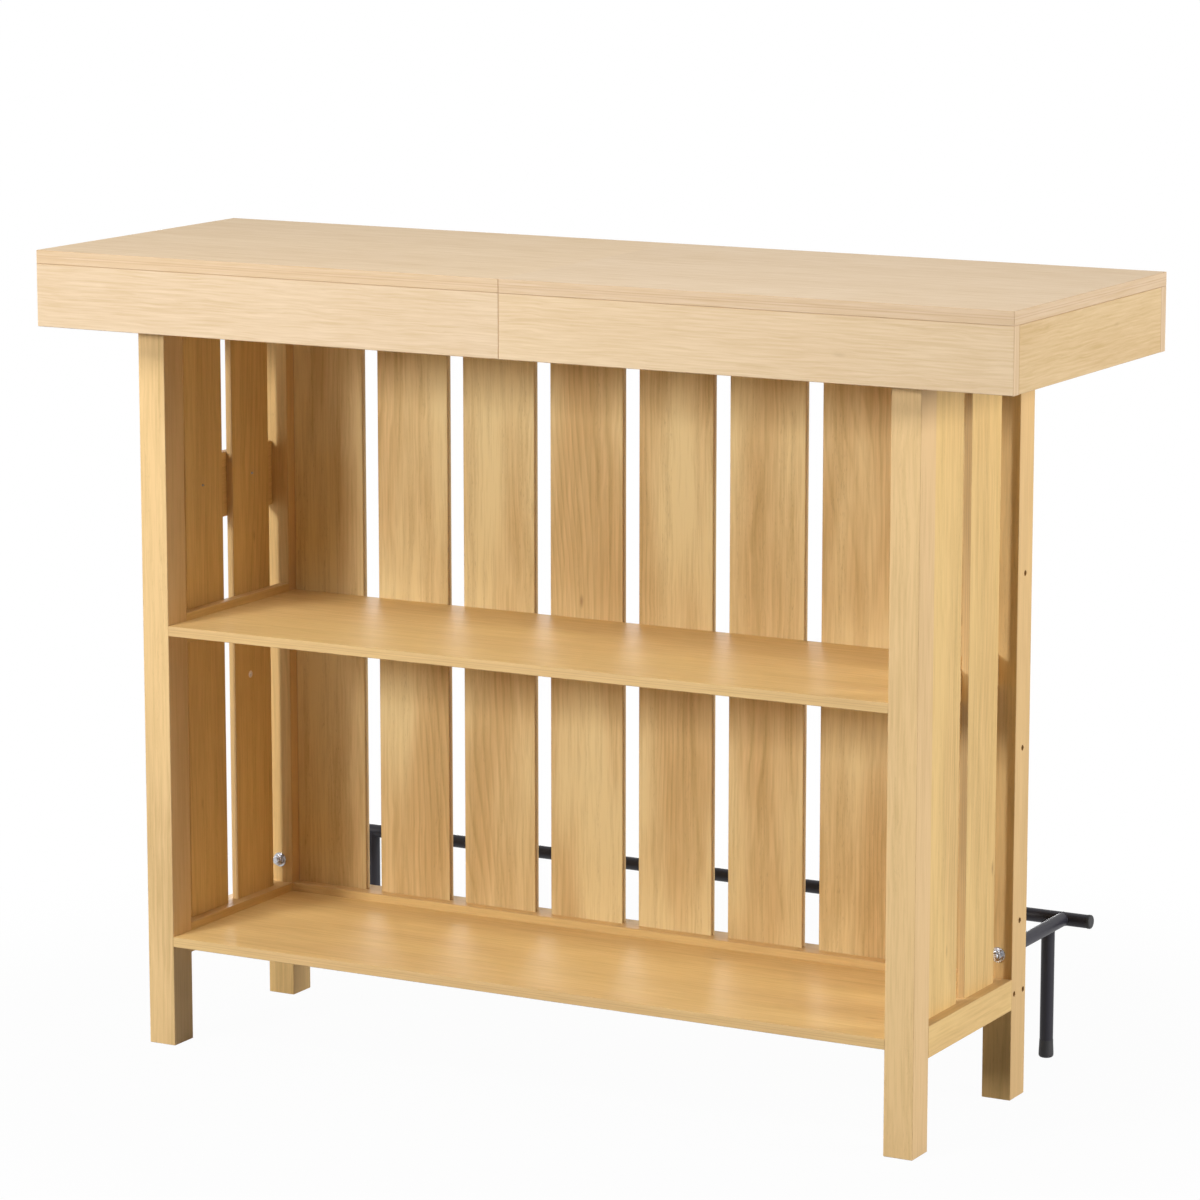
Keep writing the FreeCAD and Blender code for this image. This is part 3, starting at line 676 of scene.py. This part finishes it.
def turned(name, rings, segments, looped=False):
    """Closed mesh along Z through rings of (radius, height). A ring of radius 0 closes an end."""
    mesh = bmesh.new()
    loops = []
    for radius, height in rings:
        if radius == 0:
            loops.append([mesh.verts.new((0, 0, height))] * segments)
            continue
        loop = []
        for index in range(segments):
            angle = TURN * index / segments
            reach = radius(angle) if callable(radius) else radius
            loop.append(mesh.verts.new((reach * math.cos(angle), reach * math.sin(angle), height)))
        loops.append(loop)
    if looped:
        loops.append(loops[0])
    for below, above in zip(loops, loops[1:]):
        for index in range(segments):
            after = (index + 1) % segments
            corners = (below[index], below[after], above[after], above[index])
            face = [vertex for place, vertex in enumerate(corners) if vertex not in corners[:place]]
            mesh.faces.new(face)
    bmesh.ops.recalc_face_normals(mesh, faces=mesh.faces)
    data = bpy.data.meshes.new(name)
    mesh.to_mesh(data)
    mesh.free()
    data.shade_smooth()
    data.set_sharp_from_angle(angle=math.radians(SHARP_FROM))
    return data


print("lathe ready")

# %% [markdown]
# ## Hexagons, crosses and threads
# Each is a rule that gives the lathe a radius for an angle: a hexagon has straight flats, a plus sign is two
# bars, and a thread's ridge climbs by one pitch in every turn. A spiral sweep would make a thread too, but
# its ends would have to be closed onto the shank.

# %% Rules for a radius
TINY = 1e-9  # keeps a division by a cosine of 0 from failing


def hexagon(across_flats):
    """Radius of a hexagon with a corner at angle 0."""
    return lambda angle: across_flats / 2 / math.cos(angle % (TURN / 6) - TURN / 12)


def cross(arm, half_width):
    """Radius of a plus sign with arms of that reach and half width."""

    def radius(angle):
        flat, steep = sorted((abs(math.cos(angle)) + TINY, abs(math.sin(angle)) + TINY))
        return max(min(half_width / flat, arm / steep), min(arm / flat, half_width / steep))

    return radius


def thread(crest, root, pitch, height):
    """Radius of a thread's ring at one height: it climbs by one pitch in each turn."""

    def radius(angle):
        phase = (height / pitch - angle / TURN) % 1.0
        return root + (crest - root) * (1 - abs(2 * phase - 1))

    return radius


def thread_rings(start, end, crest, root, pitch, steps=4):
    """Rings of a thread between two heights, with that many rings in a pitch."""
    count = round(abs(end - start) / pitch * steps)
    heights = [start + (end - start) * index / count for index in range(count + 1)]
    return [(thread(crest, root, pitch, height), height) for height in heights]


print("radius rules ready")

# %% [markdown]
# ## Where the fasteners sit
# The model keeps all screws of one kind in one node. Its loose solids are found again by walking from
# vertex to vertex, and each one's box says where it is and which way it points: the long side is the
# axis, and the fatter end is the head.

# %% Find each solid of a node
SAME_POINT = 0.000005  # points of a solid's faces nearer than this are one
END_ZONE = 0.0025  # a pin's radius is measured within this distance of its end


def solids_of(node):
    """The points of each separate solid in a node."""
    mesh = bmesh.new()
    mesh.from_mesh(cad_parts[node].data)
    bmesh.ops.remove_doubles(mesh, verts=mesh.verts, dist=SAME_POINT)
    seen = set()
    found = []
    for start in mesh.verts:
        if start in seen:
            continue
        seen.add(start)
        island = [start]
        for vertex in island:
            for edge in vertex.link_edges:
                other = edge.other_vert(vertex)
                if other not in seen:
                    seen.add(other)
                    island.append(other)
        found.append([vertex.co.copy() for vertex in island])
    mesh.free()
    return found


def box_of(points):
    """Lowest and highest corner of some points."""
    return [Vector([pick(along) for along in zip(*points)]) for pick in (min, max)]


def pin_of(points):
    """A pin's head end, the unit vector from its head to its tip, its length, and its two ends' radii."""
    low, high = box_of(points)
    size = high - low
    axis = max(range(3), key=lambda side: size[side])
    middle = (low + high) / 2
    radii = []
    for end in (low[axis], high[axis]):
        near = [point - middle for point in points if abs(point[axis] - end) < END_ZONE]
        radii.append(max(math.hypot(*(off[side] for side in range(3) if side != axis)) for off in near))
    head_high = radii[1] > radii[0]
    head = middle.copy()
    head[axis] = high[axis] if head_high else low[axis]
    aim = Vector([0.0, 0.0, 0.0])
    aim[axis] = -1.0 if head_high else 1.0
    return head, aim, size[axis], max(radii), min(radii)


def pins_of(node):
    """Every pin of a node."""
    return [pin_of(points) for points in solids_of(node)]


def seated_pins(node, axis):
    """Each flat round solid of a node: the middle of its lower face on an axis, the axis, and its size."""
    pins = []
    for points in solids_of(node):
        low, high = box_of(points)
        seat = (low + high) / 2
        seat[axis] = low[axis]
        pins.append((seat, Vector([float(side == axis) for side in range(3)]), high - low))
    return pins


print("wood screws are", sorted({mm(pin[2]) for pin in pins_of("wood_screws")}), "long")

# %% [markdown]
# ## Setting the fasteners
# Each screw, nut or foot is made once, and a jig puts a copy at every place that was found. The places are
# the points of a small mesh, each with an arrow along which its copy is aimed. A random turn about that
# arrow keeps the recesses from lining up, as they never do on a real piece.

# %% A jig for fasteners
RANDOM_FROM, RANDOM_TO = 2, 3  # a Random Value node's limits for numbers, by number


def marked_points(name, label, places, marks):
    """Points for a tree to copy onto, each with a vector of its own under that label."""
    mesh = bpy.data.meshes.new(name)
    mesh.from_pydata(places, [], [])
    for item, mark in zip(mesh.attributes.new(label, "FLOAT_VECTOR", "POINT").data, marks):
        item.vector = mark
    return mesh


def fastener_tree():
    """Copies an object onto every point, aimed along the point's arrow and turned by a random amount."""
    bench, sizes = geometry_bench("fasteners", ("Geometry", "Object", "Seed", "Material"))
    pattern = bench.add("GeometryNodeObjectInfo", {}, {"Object": sizes["Object"]}, output="Geometry")
    aim = bench.add("GeometryNodeInputNamedAttribute", {"data_type": "FLOAT_VECTOR"}, {"Name": "aim"})
    level = bench.add("FunctionNodeAlignRotationToVector", {"axis": "Z"}, {"Vector": aim})
    plugs = {RANDOM_FROM: 0.0, RANDOM_TO: TURN, "Seed": sizes["Seed"]}
    turn = bench.add("FunctionNodeRandomValue", {}, plugs, output=RANDOM_FLOAT)
    spin = bench.join(z=turn)
    rolled = bench.add("FunctionNodeRotateRotation", {"rotation_space": "LOCAL"}, (level, spin))
    plugs = {"Points": sizes["Geometry"], "Instance": pattern, "Rotation": rolled}
    copies = bench.add("GeometryNodeInstanceOnPoints", {}, plugs)
    return close_tree(bench, copies, sizes["Material"])


FASTENER_TREE = fastener_tree()


def fasten(name, node, pattern, pins, material, seed, slot):
    """Puts a copy of the pattern at every pin of a node, as one piece that stands for the node."""
    holder = bpy.data.objects.new(name + "_pattern", pattern)
    places = marked_points(name + "_places", "aim", [pin[0] for pin in pins], [pin[1] for pin in pins])
    piece = run_tree(name, FASTENER_TREE, {"Object": holder, "Seed": seed, "Material": material}, places)
    bpy.data.objects.remove(holder)
    settle(piece, slot, node)


print("fastener jig of", len(FASTENER_TREE.nodes), "nodes")

# %% [markdown]
# ## Dowels
# The rails, slats, cleats and shelves are held by beech dowels. A dowel is fluted, so that glue and air
# can escape, and its ends are chamfered to start in the hole. The built counter hides them, and they come
# into sight once it is taken apart.

# %% Fluted dowels
FLUTES = 12
FLUTE_DEPTH = 0.07  # as a share of the dowel's radius, like the next line's
DOWEL_END_SHARE = 0.78
DOWEL_CHAMFER = 0.001
DOWEL_SEED = 3


def dowel_mesh(name, length, radius):
    """Fluted rod with chamfered ends, from its head at 0 along +Z."""

    def fluted(angle):
        return radius * (1 - FLUTE_DEPTH * (0.5 - 0.5 * math.cos(FLUTES * angle)))

    end = radius * DOWEL_END_SHARE
    rings = [
        (0, length), (end, length), (fluted, length - DOWEL_CHAMFER), (fluted, DOWEL_CHAMFER), (end, 0.0),
        (0, 0.0),
    ]
    return turned(name, rings, FLUTES * 2)


for node in ("rail_dowels", "thin_dowels"):
    pins = pins_of(node)
    length, radius = pins[0][2:4]
    pattern = dowel_mesh(node + "_one", length, radius)
    fasten(node + "_fluted", node, pattern, pins, BEECH, DOWEL_SEED, "beech")
    print(len(pins), "dowels of", mm(radius * 2, length))

# %% [markdown]
# ## Screws
# Pan-head screws hold the steel angles, the joint blocks and the tie board. Long screws are sunk in the
# back legs, at the bottom of open holes. Their heads have a cross recess, and their shanks a thread that
# ends in a point. The recess and the thread both come from the lathe's rules.

# %% Cross-headed screws
HEAD_HEIGHT = {"bracket_screws": 0.0024, "wood_screws": 0.0024, "frame_screws": 0.0030}
HEAD_PROFILE = ((1.0, 1.0), (1.0, 0.55), (0.86, 0.16), (0.66, 0.0))  # shares of the head's radius and height
RECESS_ARM = 0.55  # share of the head's radius, like the next line's
RECESS_HALF_WIDTH = 0.16
RECESS_DEPTH = 0.6  # share of the head's height
SCREW_PITCH = 0.0018
SCREW_ROOT = 0.74  # share of the shank's radius, like the next line's
SCREW_NECK = 0.96
POINT_LENGTH = 2  # shank radii
POINT_BLUNT = 0.35  # where the point turns blunt, as a share of its length and of its radius
SCREW_SEGMENTS = 24
SCREW_SEED = 5


def screw_mesh(name, length, head_radius, shank_radius, head_height):
    """Screw with its head's top at 0 and its tip along +Z."""
    root = shank_radius * SCREW_ROOT
    point = shank_radius * POINT_LENGTH
    recess = cross(head_radius * RECESS_ARM, head_radius * RECESS_HALF_WIDTH)
    recess_depth = head_height * RECESS_DEPTH
    rings = [(0, length), (root * POINT_BLUNT, length - point * POINT_BLUNT), (root, length - point)]
    rings += thread_rings(length - point, head_height + shank_radius, shank_radius, root, SCREW_PITCH)
    rings += [(shank_radius * SCREW_NECK, head_height)]
    rings += [(head_radius * reach, head_height * depth) for reach, depth in HEAD_PROFILE]
    rings += [(recess, 0.0), (recess, recess_depth), (0, recess_depth)]
    return turned(name, rings, SCREW_SEGMENTS)


for node, head_height in HEAD_HEIGHT.items():
    pins = pins_of(node)
    length, head_radius, shank_radius = pins[0][2:]
    pattern = screw_mesh(node + "_one", length, head_radius, shank_radius, head_height)
    fasten(node + "_cross", node, pattern, pins, ZINC, SCREW_SEED, "zinc_steel")
    print(len(pins), "screws of", mm(shank_radius * 2, length), "with heads of", mm(head_radius * 2))

# %% [markdown]
# ## Stud, washer and nut
# Each arm of the foot rail ends in a threaded stud that goes through the back leg. On the leg's front
# face a washer spreads the load and a nut pulls the arm tight. A nut is a hexagon whose corners are
# turned off by a cone, so at each height its radius is the smaller one of the hexagon and the cone.

# %% Studs, washers and nuts
THREAD_PITCH = 0.00125
THREAD_DEPTH = 0.00065
THREAD_STEPS = 6  # rings in a pitch
THREADED_LENGTH = 0.030
THREAD_START = 1.5  # stud chamfers from the tip
STUD_CHAMFER = 0.0009
PLUG_LENGTH = 0.012
STUD_SEGMENTS = 32
NUT_CONE = 0.95  # radius of the nut's face, as a share of half its width across flats
NUT_CONE_SLOPE = math.sqrt(3)
NUT_CHAMFER_RISES = (0.0, 0.0003, 0.0006, 0.0009)
NUT_SEGMENTS = 48
BORE_CHAMFER = 0.0004
WASHER_ROUND = 0.00025
WASHER_BORE = 1.06  # stud radii
WASHER_SEGMENTS = 64
BOLT_SEED = 8


def chamfered(across_flats, rise):
    """Radius of a hexagon cut by a cone, at some distance from the nut's face."""
    flats = hexagon(across_flats)
    cone = across_flats / 2 * NUT_CONE + rise * NUT_CONE_SLOPE
    return lambda angle: min(flats(angle), cone)


def nut_mesh(name, across_flats, height, bore):
    """Nut on its face at 0, with both its faces and its bore chamfered."""
    outside = [(chamfered(across_flats, rise), rise) for rise in NUT_CHAMFER_RISES]
    outside += [(radius, height - rise) for radius, rise in reversed(outside)]
    wide = bore + BORE_CHAMFER
    inside = [(wide, height), (bore, height - BORE_CHAMFER), (bore, BORE_CHAMFER), (wide, 0.0)]
    return turned(name, outside + inside, NUT_SEGMENTS, looped=True)


def washer_mesh(name, radius, bore, height):
    """Flat ring with rounded edges."""
    rings = []
    for edge, inward in ((radius, -WASHER_ROUND), (bore, WASHER_ROUND)):
        flat = edge + inward
        corners = [(flat, 0.0), (edge, WASHER_ROUND), (edge, height - WASHER_ROUND), (flat, height)]
        rings += corners if edge == radius else corners[::-1]
    return turned(name, rings, WASHER_SEGMENTS, looped=True)


def stud_mesh(name, length, plug_radius, radius):
    """Stud along +Z from its plug's end, threaded towards its tip."""
    root = radius - THREAD_DEPTH
    first = length - STUD_CHAMFER * THREAD_START
    last = length - THREADED_LENGTH
    rings = [(0, length), (root, length), (radius, length - STUD_CHAMFER)]
    rings += thread_rings(first, last, radius, root, THREAD_PITCH, THREAD_STEPS)
    rings += [
        (radius, last - THREAD_PITCH), (radius, PLUG_LENGTH), (plug_radius, PLUG_LENGTH), (plug_radius, 0.0),
        (0, 0.0),
    ]
    return turned(name, rings, STUD_SEGMENTS)


stud_pins = pins_of("foot_rail_studs")
stud_length, plug_radius, stud_radius = stud_pins[0][2:]
stud = stud_mesh("stud_one", stud_length, plug_radius, stud_radius)
fasten("studs_threaded", "foot_rail_studs", stud, stud_pins, ZINC, BOLT_SEED, "zinc_steel")

nut_pins = seated_pins("foot_rail_nuts", AXES.index("Y"))
nut_size = nut_pins[0][2]
nut = nut_mesh("nut_one", nut_size.z, nut_size.y, stud_radius)
fasten("nuts_chamfered", "foot_rail_nuts", nut, nut_pins, ZINC, BOLT_SEED, "zinc_steel")

washer_pins = seated_pins("foot_rail_washers", AXES.index("Y"))
washer_size = washer_pins[0][2]
washer = washer_mesh("washer_one", washer_size.x / 2, stud_radius * WASHER_BORE, washer_size.y)
fasten("washers_rounded", "foot_rail_washers", washer, washer_pins, ZINC, BOLT_SEED, "zinc_steel")
print("stud", mm(stud_radius * 2, stud_length), "nut", mm(nut_size.z), "washer", mm(washer_size.x))

# %% [markdown]
# ## Feet of the foot rail
# Each post stands in a moulded rubber cup. It grips the tube at its lip, swells a little towards the
# floor and is rounded under, so that it can't catch or mark the floor. One turned profile gives all of
# this, and the tree that sets the screws puts one under each post.

# %% Rubber feet
FOOT_SOLE = 0.004
FOOT_ROUND = 0.0036
FOOT_LIP_WALL = 0.0003
FOOT_PLAY = 0.00005
FOOT_ROUND_STEPS = 6
FOOT_SWELL_STEPS = 8
FOOT_SEGMENTS = 48


def foot_mesh(name, radius, height, post_radius):
    """Cup from the floor up, open at its top."""
    lip = post_radius + FOOT_LIP_WALL
    rings = [(0, 0.0)]
    for step in range(FOOT_ROUND_STEPS + 1):
        angle = TURN / 4 * step / FOOT_ROUND_STEPS
        rings.append((radius - FOOT_ROUND * (1 - math.sin(angle)), FOOT_ROUND * (1 - math.cos(angle))))
    for step in range(1, FOOT_SWELL_STEPS + 1):
        share = step / FOOT_SWELL_STEPS
        swell = (1 + math.cos(math.pi * share)) / 2
        rings.append((lip + (radius - lip) * swell, FOOT_ROUND + (height - FOOT_ROUND) * share))
    inner = post_radius + FOOT_PLAY
    rings += [(inner, height), (inner, FOOT_SOLE), (0, FOOT_SOLE)]
    return turned(name, rings, FOOT_SEGMENTS)


foot_pins = seated_pins("foot_rail_feet", AXES.index("Z"))
foot_size = foot_pins[-1][2]
post_low, post_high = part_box("foot_rail_post_left")
post_radius = (post_high.x - post_low.x) / 2
foot = foot_mesh("foot_one", foot_size.x / 2, foot_size.z, post_radius)
fasten("feet_moulded", "foot_rail_feet", foot, foot_pins, RUBBER, BOLT_SEED, "black_rubber")
print("foot", mm(foot_size.x, foot_size.z), "on a post of", mm(post_radius * 2))

# %% [markdown]
# ## Weld beads
# Arms and posts are welded to the rail all round, and the powder coat covers the welds. Where two equal
# tubes meet at a right angle, the seam is a saddle: a circle that dips by the size of its own x. The
# tree bends a circle into that saddle, gives it a radius that ripples as the weld pool did, and runs a
# round profile along it. The bead is fullest in the two inner corners and thins out over the rail's
# crown, where the tubes touch without a corner.

# %% Weld seams
BEAD = 0.0021
BEAD_RIPPLES = 34.0
BEAD_RIPPLE_SHARE = 0.10
BEAD_THIN = 0.30
BEAD_DRIFT = 0.5  # share of the bead by which it grows and shrinks slowly
BEAD_DRIFT_WAVES = 3.0
BEAD_SEED = 21
SEAM_STEPS = 144
BEAD_STEPS = 10
BRANCH_TILTS = {"arm": (-TURN / 4, 0.0, 0.0), "post": (0.0, 0.0, 0.0)}


def weld_tree():
    """A rippled bead round the joint of two tubes, at every point and tilted as the point says."""
    labels = ("Geometry", "Tube Radius", "Bead", "Ripples", "Ripple Share", "Thin", "Seed", "Material")
    bench, sizes = geometry_bench("weld_seams", labels)
    ring = bench.add("GeometryNodeCurvePrimitiveCircle", {}, {"Resolution": SEAM_STEPS})
    spot = bench.split(bench.add("GeometryNodeInputPosition"))
    side = spot.math("ABSOLUTE")
    dip = bench.join(spot, spot.output("Y"), side * -1.0)
    saddle = bench.vector("MULTIPLY", dip, sizes["Tube Radius"])
    seam = bench.add("GeometryNodeSetPosition", {}, {"Geometry": ring, "Position": saddle})
    travel = bench.add("GeometryNodeSplineParameter", output="Factor")
    pool = (travel * sizes["Ripples"] * TURN).math("SINE") * sizes["Ripple Share"]
    plugs = {"W": sizes["Seed"], "Scale": BEAD_DRIFT_WAVES, "Detail": 2.0}
    drift = bench.add("ShaderNodeTexNoise", {"noise_dimensions": "4D"}, plugs)
    fullness = sizes["Thin"] + (1.0 - sizes["Thin"]) * side
    width = sizes["Bead"] * fullness * (1.0 + pool + (drift - 0.5) * BEAD_DRIFT)
    profile = bench.add("GeometryNodeCurvePrimitiveCircle", {}, {"Resolution": BEAD_STEPS})
    bead = bench.add("GeometryNodeCurveToMesh", {}, {"Curve": seam, "Profile Curve": profile, "Scale": width})
    smooth = bench.add("GeometryNodeSetShadeSmooth", {}, (bead,))
    tilt = bench.add("GeometryNodeInputNamedAttribute", {"data_type": "FLOAT_VECTOR"}, {"Name": "tilt"})
    plugs = {"Points": sizes["Geometry"], "Instance": smooth, "Rotation": tilt}
    copies = bench.add("GeometryNodeInstanceOnPoints", {}, plugs)
    return close_tree(bench, copies, sizes["Material"])


rail_low, rail_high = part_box("foot_rail_tube")
rail_middle = (rail_low + rail_high) / 2
seam_places = []
seam_tilts = []
for branch, tilt in BRANCH_TILTS.items():
    for side in ("left", "right"):
        low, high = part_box("foot_rail_%s_%s" % (branch, side))
        seam_places.append(((low.x + high.x) / 2, rail_middle.y, rail_middle.z))
        seam_tilts.append(tilt)
welds = run_tree(
    "weld_beads", weld_tree(),
    {
        "Tube Radius": post_radius, "Bead": BEAD, "Ripples": BEAD_RIPPLES, "Ripple Share": BEAD_RIPPLE_SHARE,
        "Thin": BEAD_THIN, "Seed": BEAD_SEED, "Material": STEEL_COAT,
    },
    marked_points("weld_places", "tilt", seam_places, seam_tilts),
)
settle(welds, "black_steel")
print(len(seam_places), "seams on tubes of", mm(post_radius * 2))

# %% [markdown]
# ## Camera
# Furniture is shown from a little above eye height and well to one side, with a long lens from about six
# metres, so that upright edges stay nearly parallel. A lens is given here as the number of pixels that one
# unit of distance covers at one unit of depth, and Blender's millimetres follow from it.

# %% Camera
CAMERA_PLACE = (2.9312, -5.3781, 1.7374)
CAMERA_YAW = 0.5001
CAMERA_PITCH = 0.1811
FOCAL_PIXELS = 4744.2
FRAME_PIXELS = 1200
SENSOR_MM = 36.0
CAMERA_REACH = 100.0

camera_data = bpy.data.cameras.new("camera")
camera_data.sensor_width = SENSOR_MM
camera_data.lens = FOCAL_PIXELS / FRAME_PIXELS * SENSOR_MM
camera_data.clip_end = CAMERA_REACH
camera = new_object("camera", camera_data)
camera.location = CAMERA_PLACE
camera.rotation_euler = (math.pi / 2 - CAMERA_PITCH, 0.0, CAMERA_YAW)
bpy.context.scene.camera = camera
bpy.context.scene.view_settings.view_transform = "Standard"
print("lens", round(camera_data.lens, 1), "mm")

# %% [markdown]
# ## A white studio that doesn't light the wood
# A white room would fill every shadow. Here the world is white only for the camera, for gloss and through
# glass, and gives no light of its own. One that lit everything evenly would be simpler, but flat.

# %% World
WHITE = (1.0, 1.0, 1.0, 1.0)


def white_seen(bench):
    """1 for rays from the camera, off gloss and through glass, and 0 for the light that falls on things."""
    rays = bench.add("ShaderNodeLightPath")
    seen = rays.output("Is Camera Ray").math("MAXIMUM", rays.output("Is Glossy Ray"))
    return seen.math("MAXIMUM", rays.output("Is Transmission Ray"))


world = bpy.data.worlds.new("studio")
world.use_nodes = True
world.node_tree.nodes.clear()
air = Bench(world.node_tree)
sky = air.add("ShaderNodeBackground", {}, {"Color": WHITE, "Strength": white_seen(air)})
air.add("ShaderNodeOutputWorld", {}, {"Surface": sky})
bpy.context.scene.world = world
print("world of", len(world.node_tree.nodes), "nodes")

# %% [markdown]
# ## Soft boxes
# The light comes from soft boxes: a key from the front left, a high one that models the top and the
# shelves, a weak one overhead, and fills at both sides and behind. The fill behind stays below the top, so
# that the top doesn't mirror it. Their powers are set so that a colour renders about as it is written.

# %% Soft boxes
LAMP_AIM = (0.0, 0.0, 0.55)
SOFT_BOXES = {  # place, watts, width and height
    "key": ((-2.1, -5.0, 2.2), 162.0, 0.95, 0.95),
    "high": ((-0.6, -2.7, 4.2), 112.0, 1.4, 1.4),
    "overhead": ((0.6, 0.0, 3.6), 16.0, 1.8, 1.2),
    "fill_right": ((6.0, 0.7, 2.1), 285.0, 2.4, 2.4),
    "fill_left": ((-4.0, -0.6, 1.2), 45.0, 1.2, 1.2),
    "fill_back": ((-2.6, 4.2, 0.75), 90.0, 1.6, 0.6),
}

for name, (place, power, width, height) in SOFT_BOXES.items():
    light = bpy.data.lights.new(name, "AREA")
    light.shape = "RECTANGLE"
    light.size = width
    light.size_y = height
    light.energy = power
    lamp = new_object(name, light)
    lamp.location = place
    lamp.rotation_euler = (Vector(LAMP_AIM) - Vector(place)).to_track_quat("-Z", "Y").to_euler()
print(len(SOFT_BOXES), "soft boxes,", sum(box[1] for box in SOFT_BOXES.values()), "W")

# %% [markdown]
# ## Floor
# The floor is a pale disc that fades into the white background. For the camera it is mostly a plain white
# glow, with a small share of real paint that keeps the counter's shadow. That share fades out away from the
# counter. For the light that bounces onto the wood it is only paint.

# %% Floor
FLOOR_RADIUS = 12.0
FLOOR_SEGMENTS = 96
FLOOR_DROP = 0.0002  # metres, so that it shares no face with the feet
FLOOR_PAINT = (0.40, 0.40, 0.40, 1.0)
FLOOR_GLOW = 0.970  # share of glow under the counter
SHADOW_EDGE = (0.7, 1.3)  # metres from the middle over which the rest of the paint goes too

floor_mesh = bmesh.new()
bmesh.ops.create_circle(floor_mesh, cap_ends=True, radius=FLOOR_RADIUS, segments=FLOOR_SEGMENTS)
bmesh.ops.translate(floor_mesh, verts=floor_mesh.verts, vec=(0.0, 0.0, -FLOOR_DROP))
floor_data = bpy.data.meshes.new("floor")
floor_mesh.to_mesh(floor_data)
floor_mesh.free()
floor = new_object("floor", floor_data)

floor_material, bench = new_material("floor_white")
distance = bench.vector("LENGTH", bench.place()).output("Value")
paint = bench.add("ShaderNodeBsdfDiffuse", {}, {"Color": FLOOR_PAINT})
glow = bench.add("ShaderNodeEmission", {}, {"Color": WHITE, "Strength": 1.0})
share = (FLOOR_GLOW + (1.0 - FLOOR_GLOW) * bench.fade(distance, *SHADOW_EDGE)) * white_seen(bench)
mixed = bench.add("ShaderNodeMixShader", {}, (share, paint, glow))
bench.add("ShaderNodeOutputMaterial", {}, {"Surface": mixed})
floor_data.materials.append(floor_material)
print("floor", FLOOR_RADIUS, "m in radius")
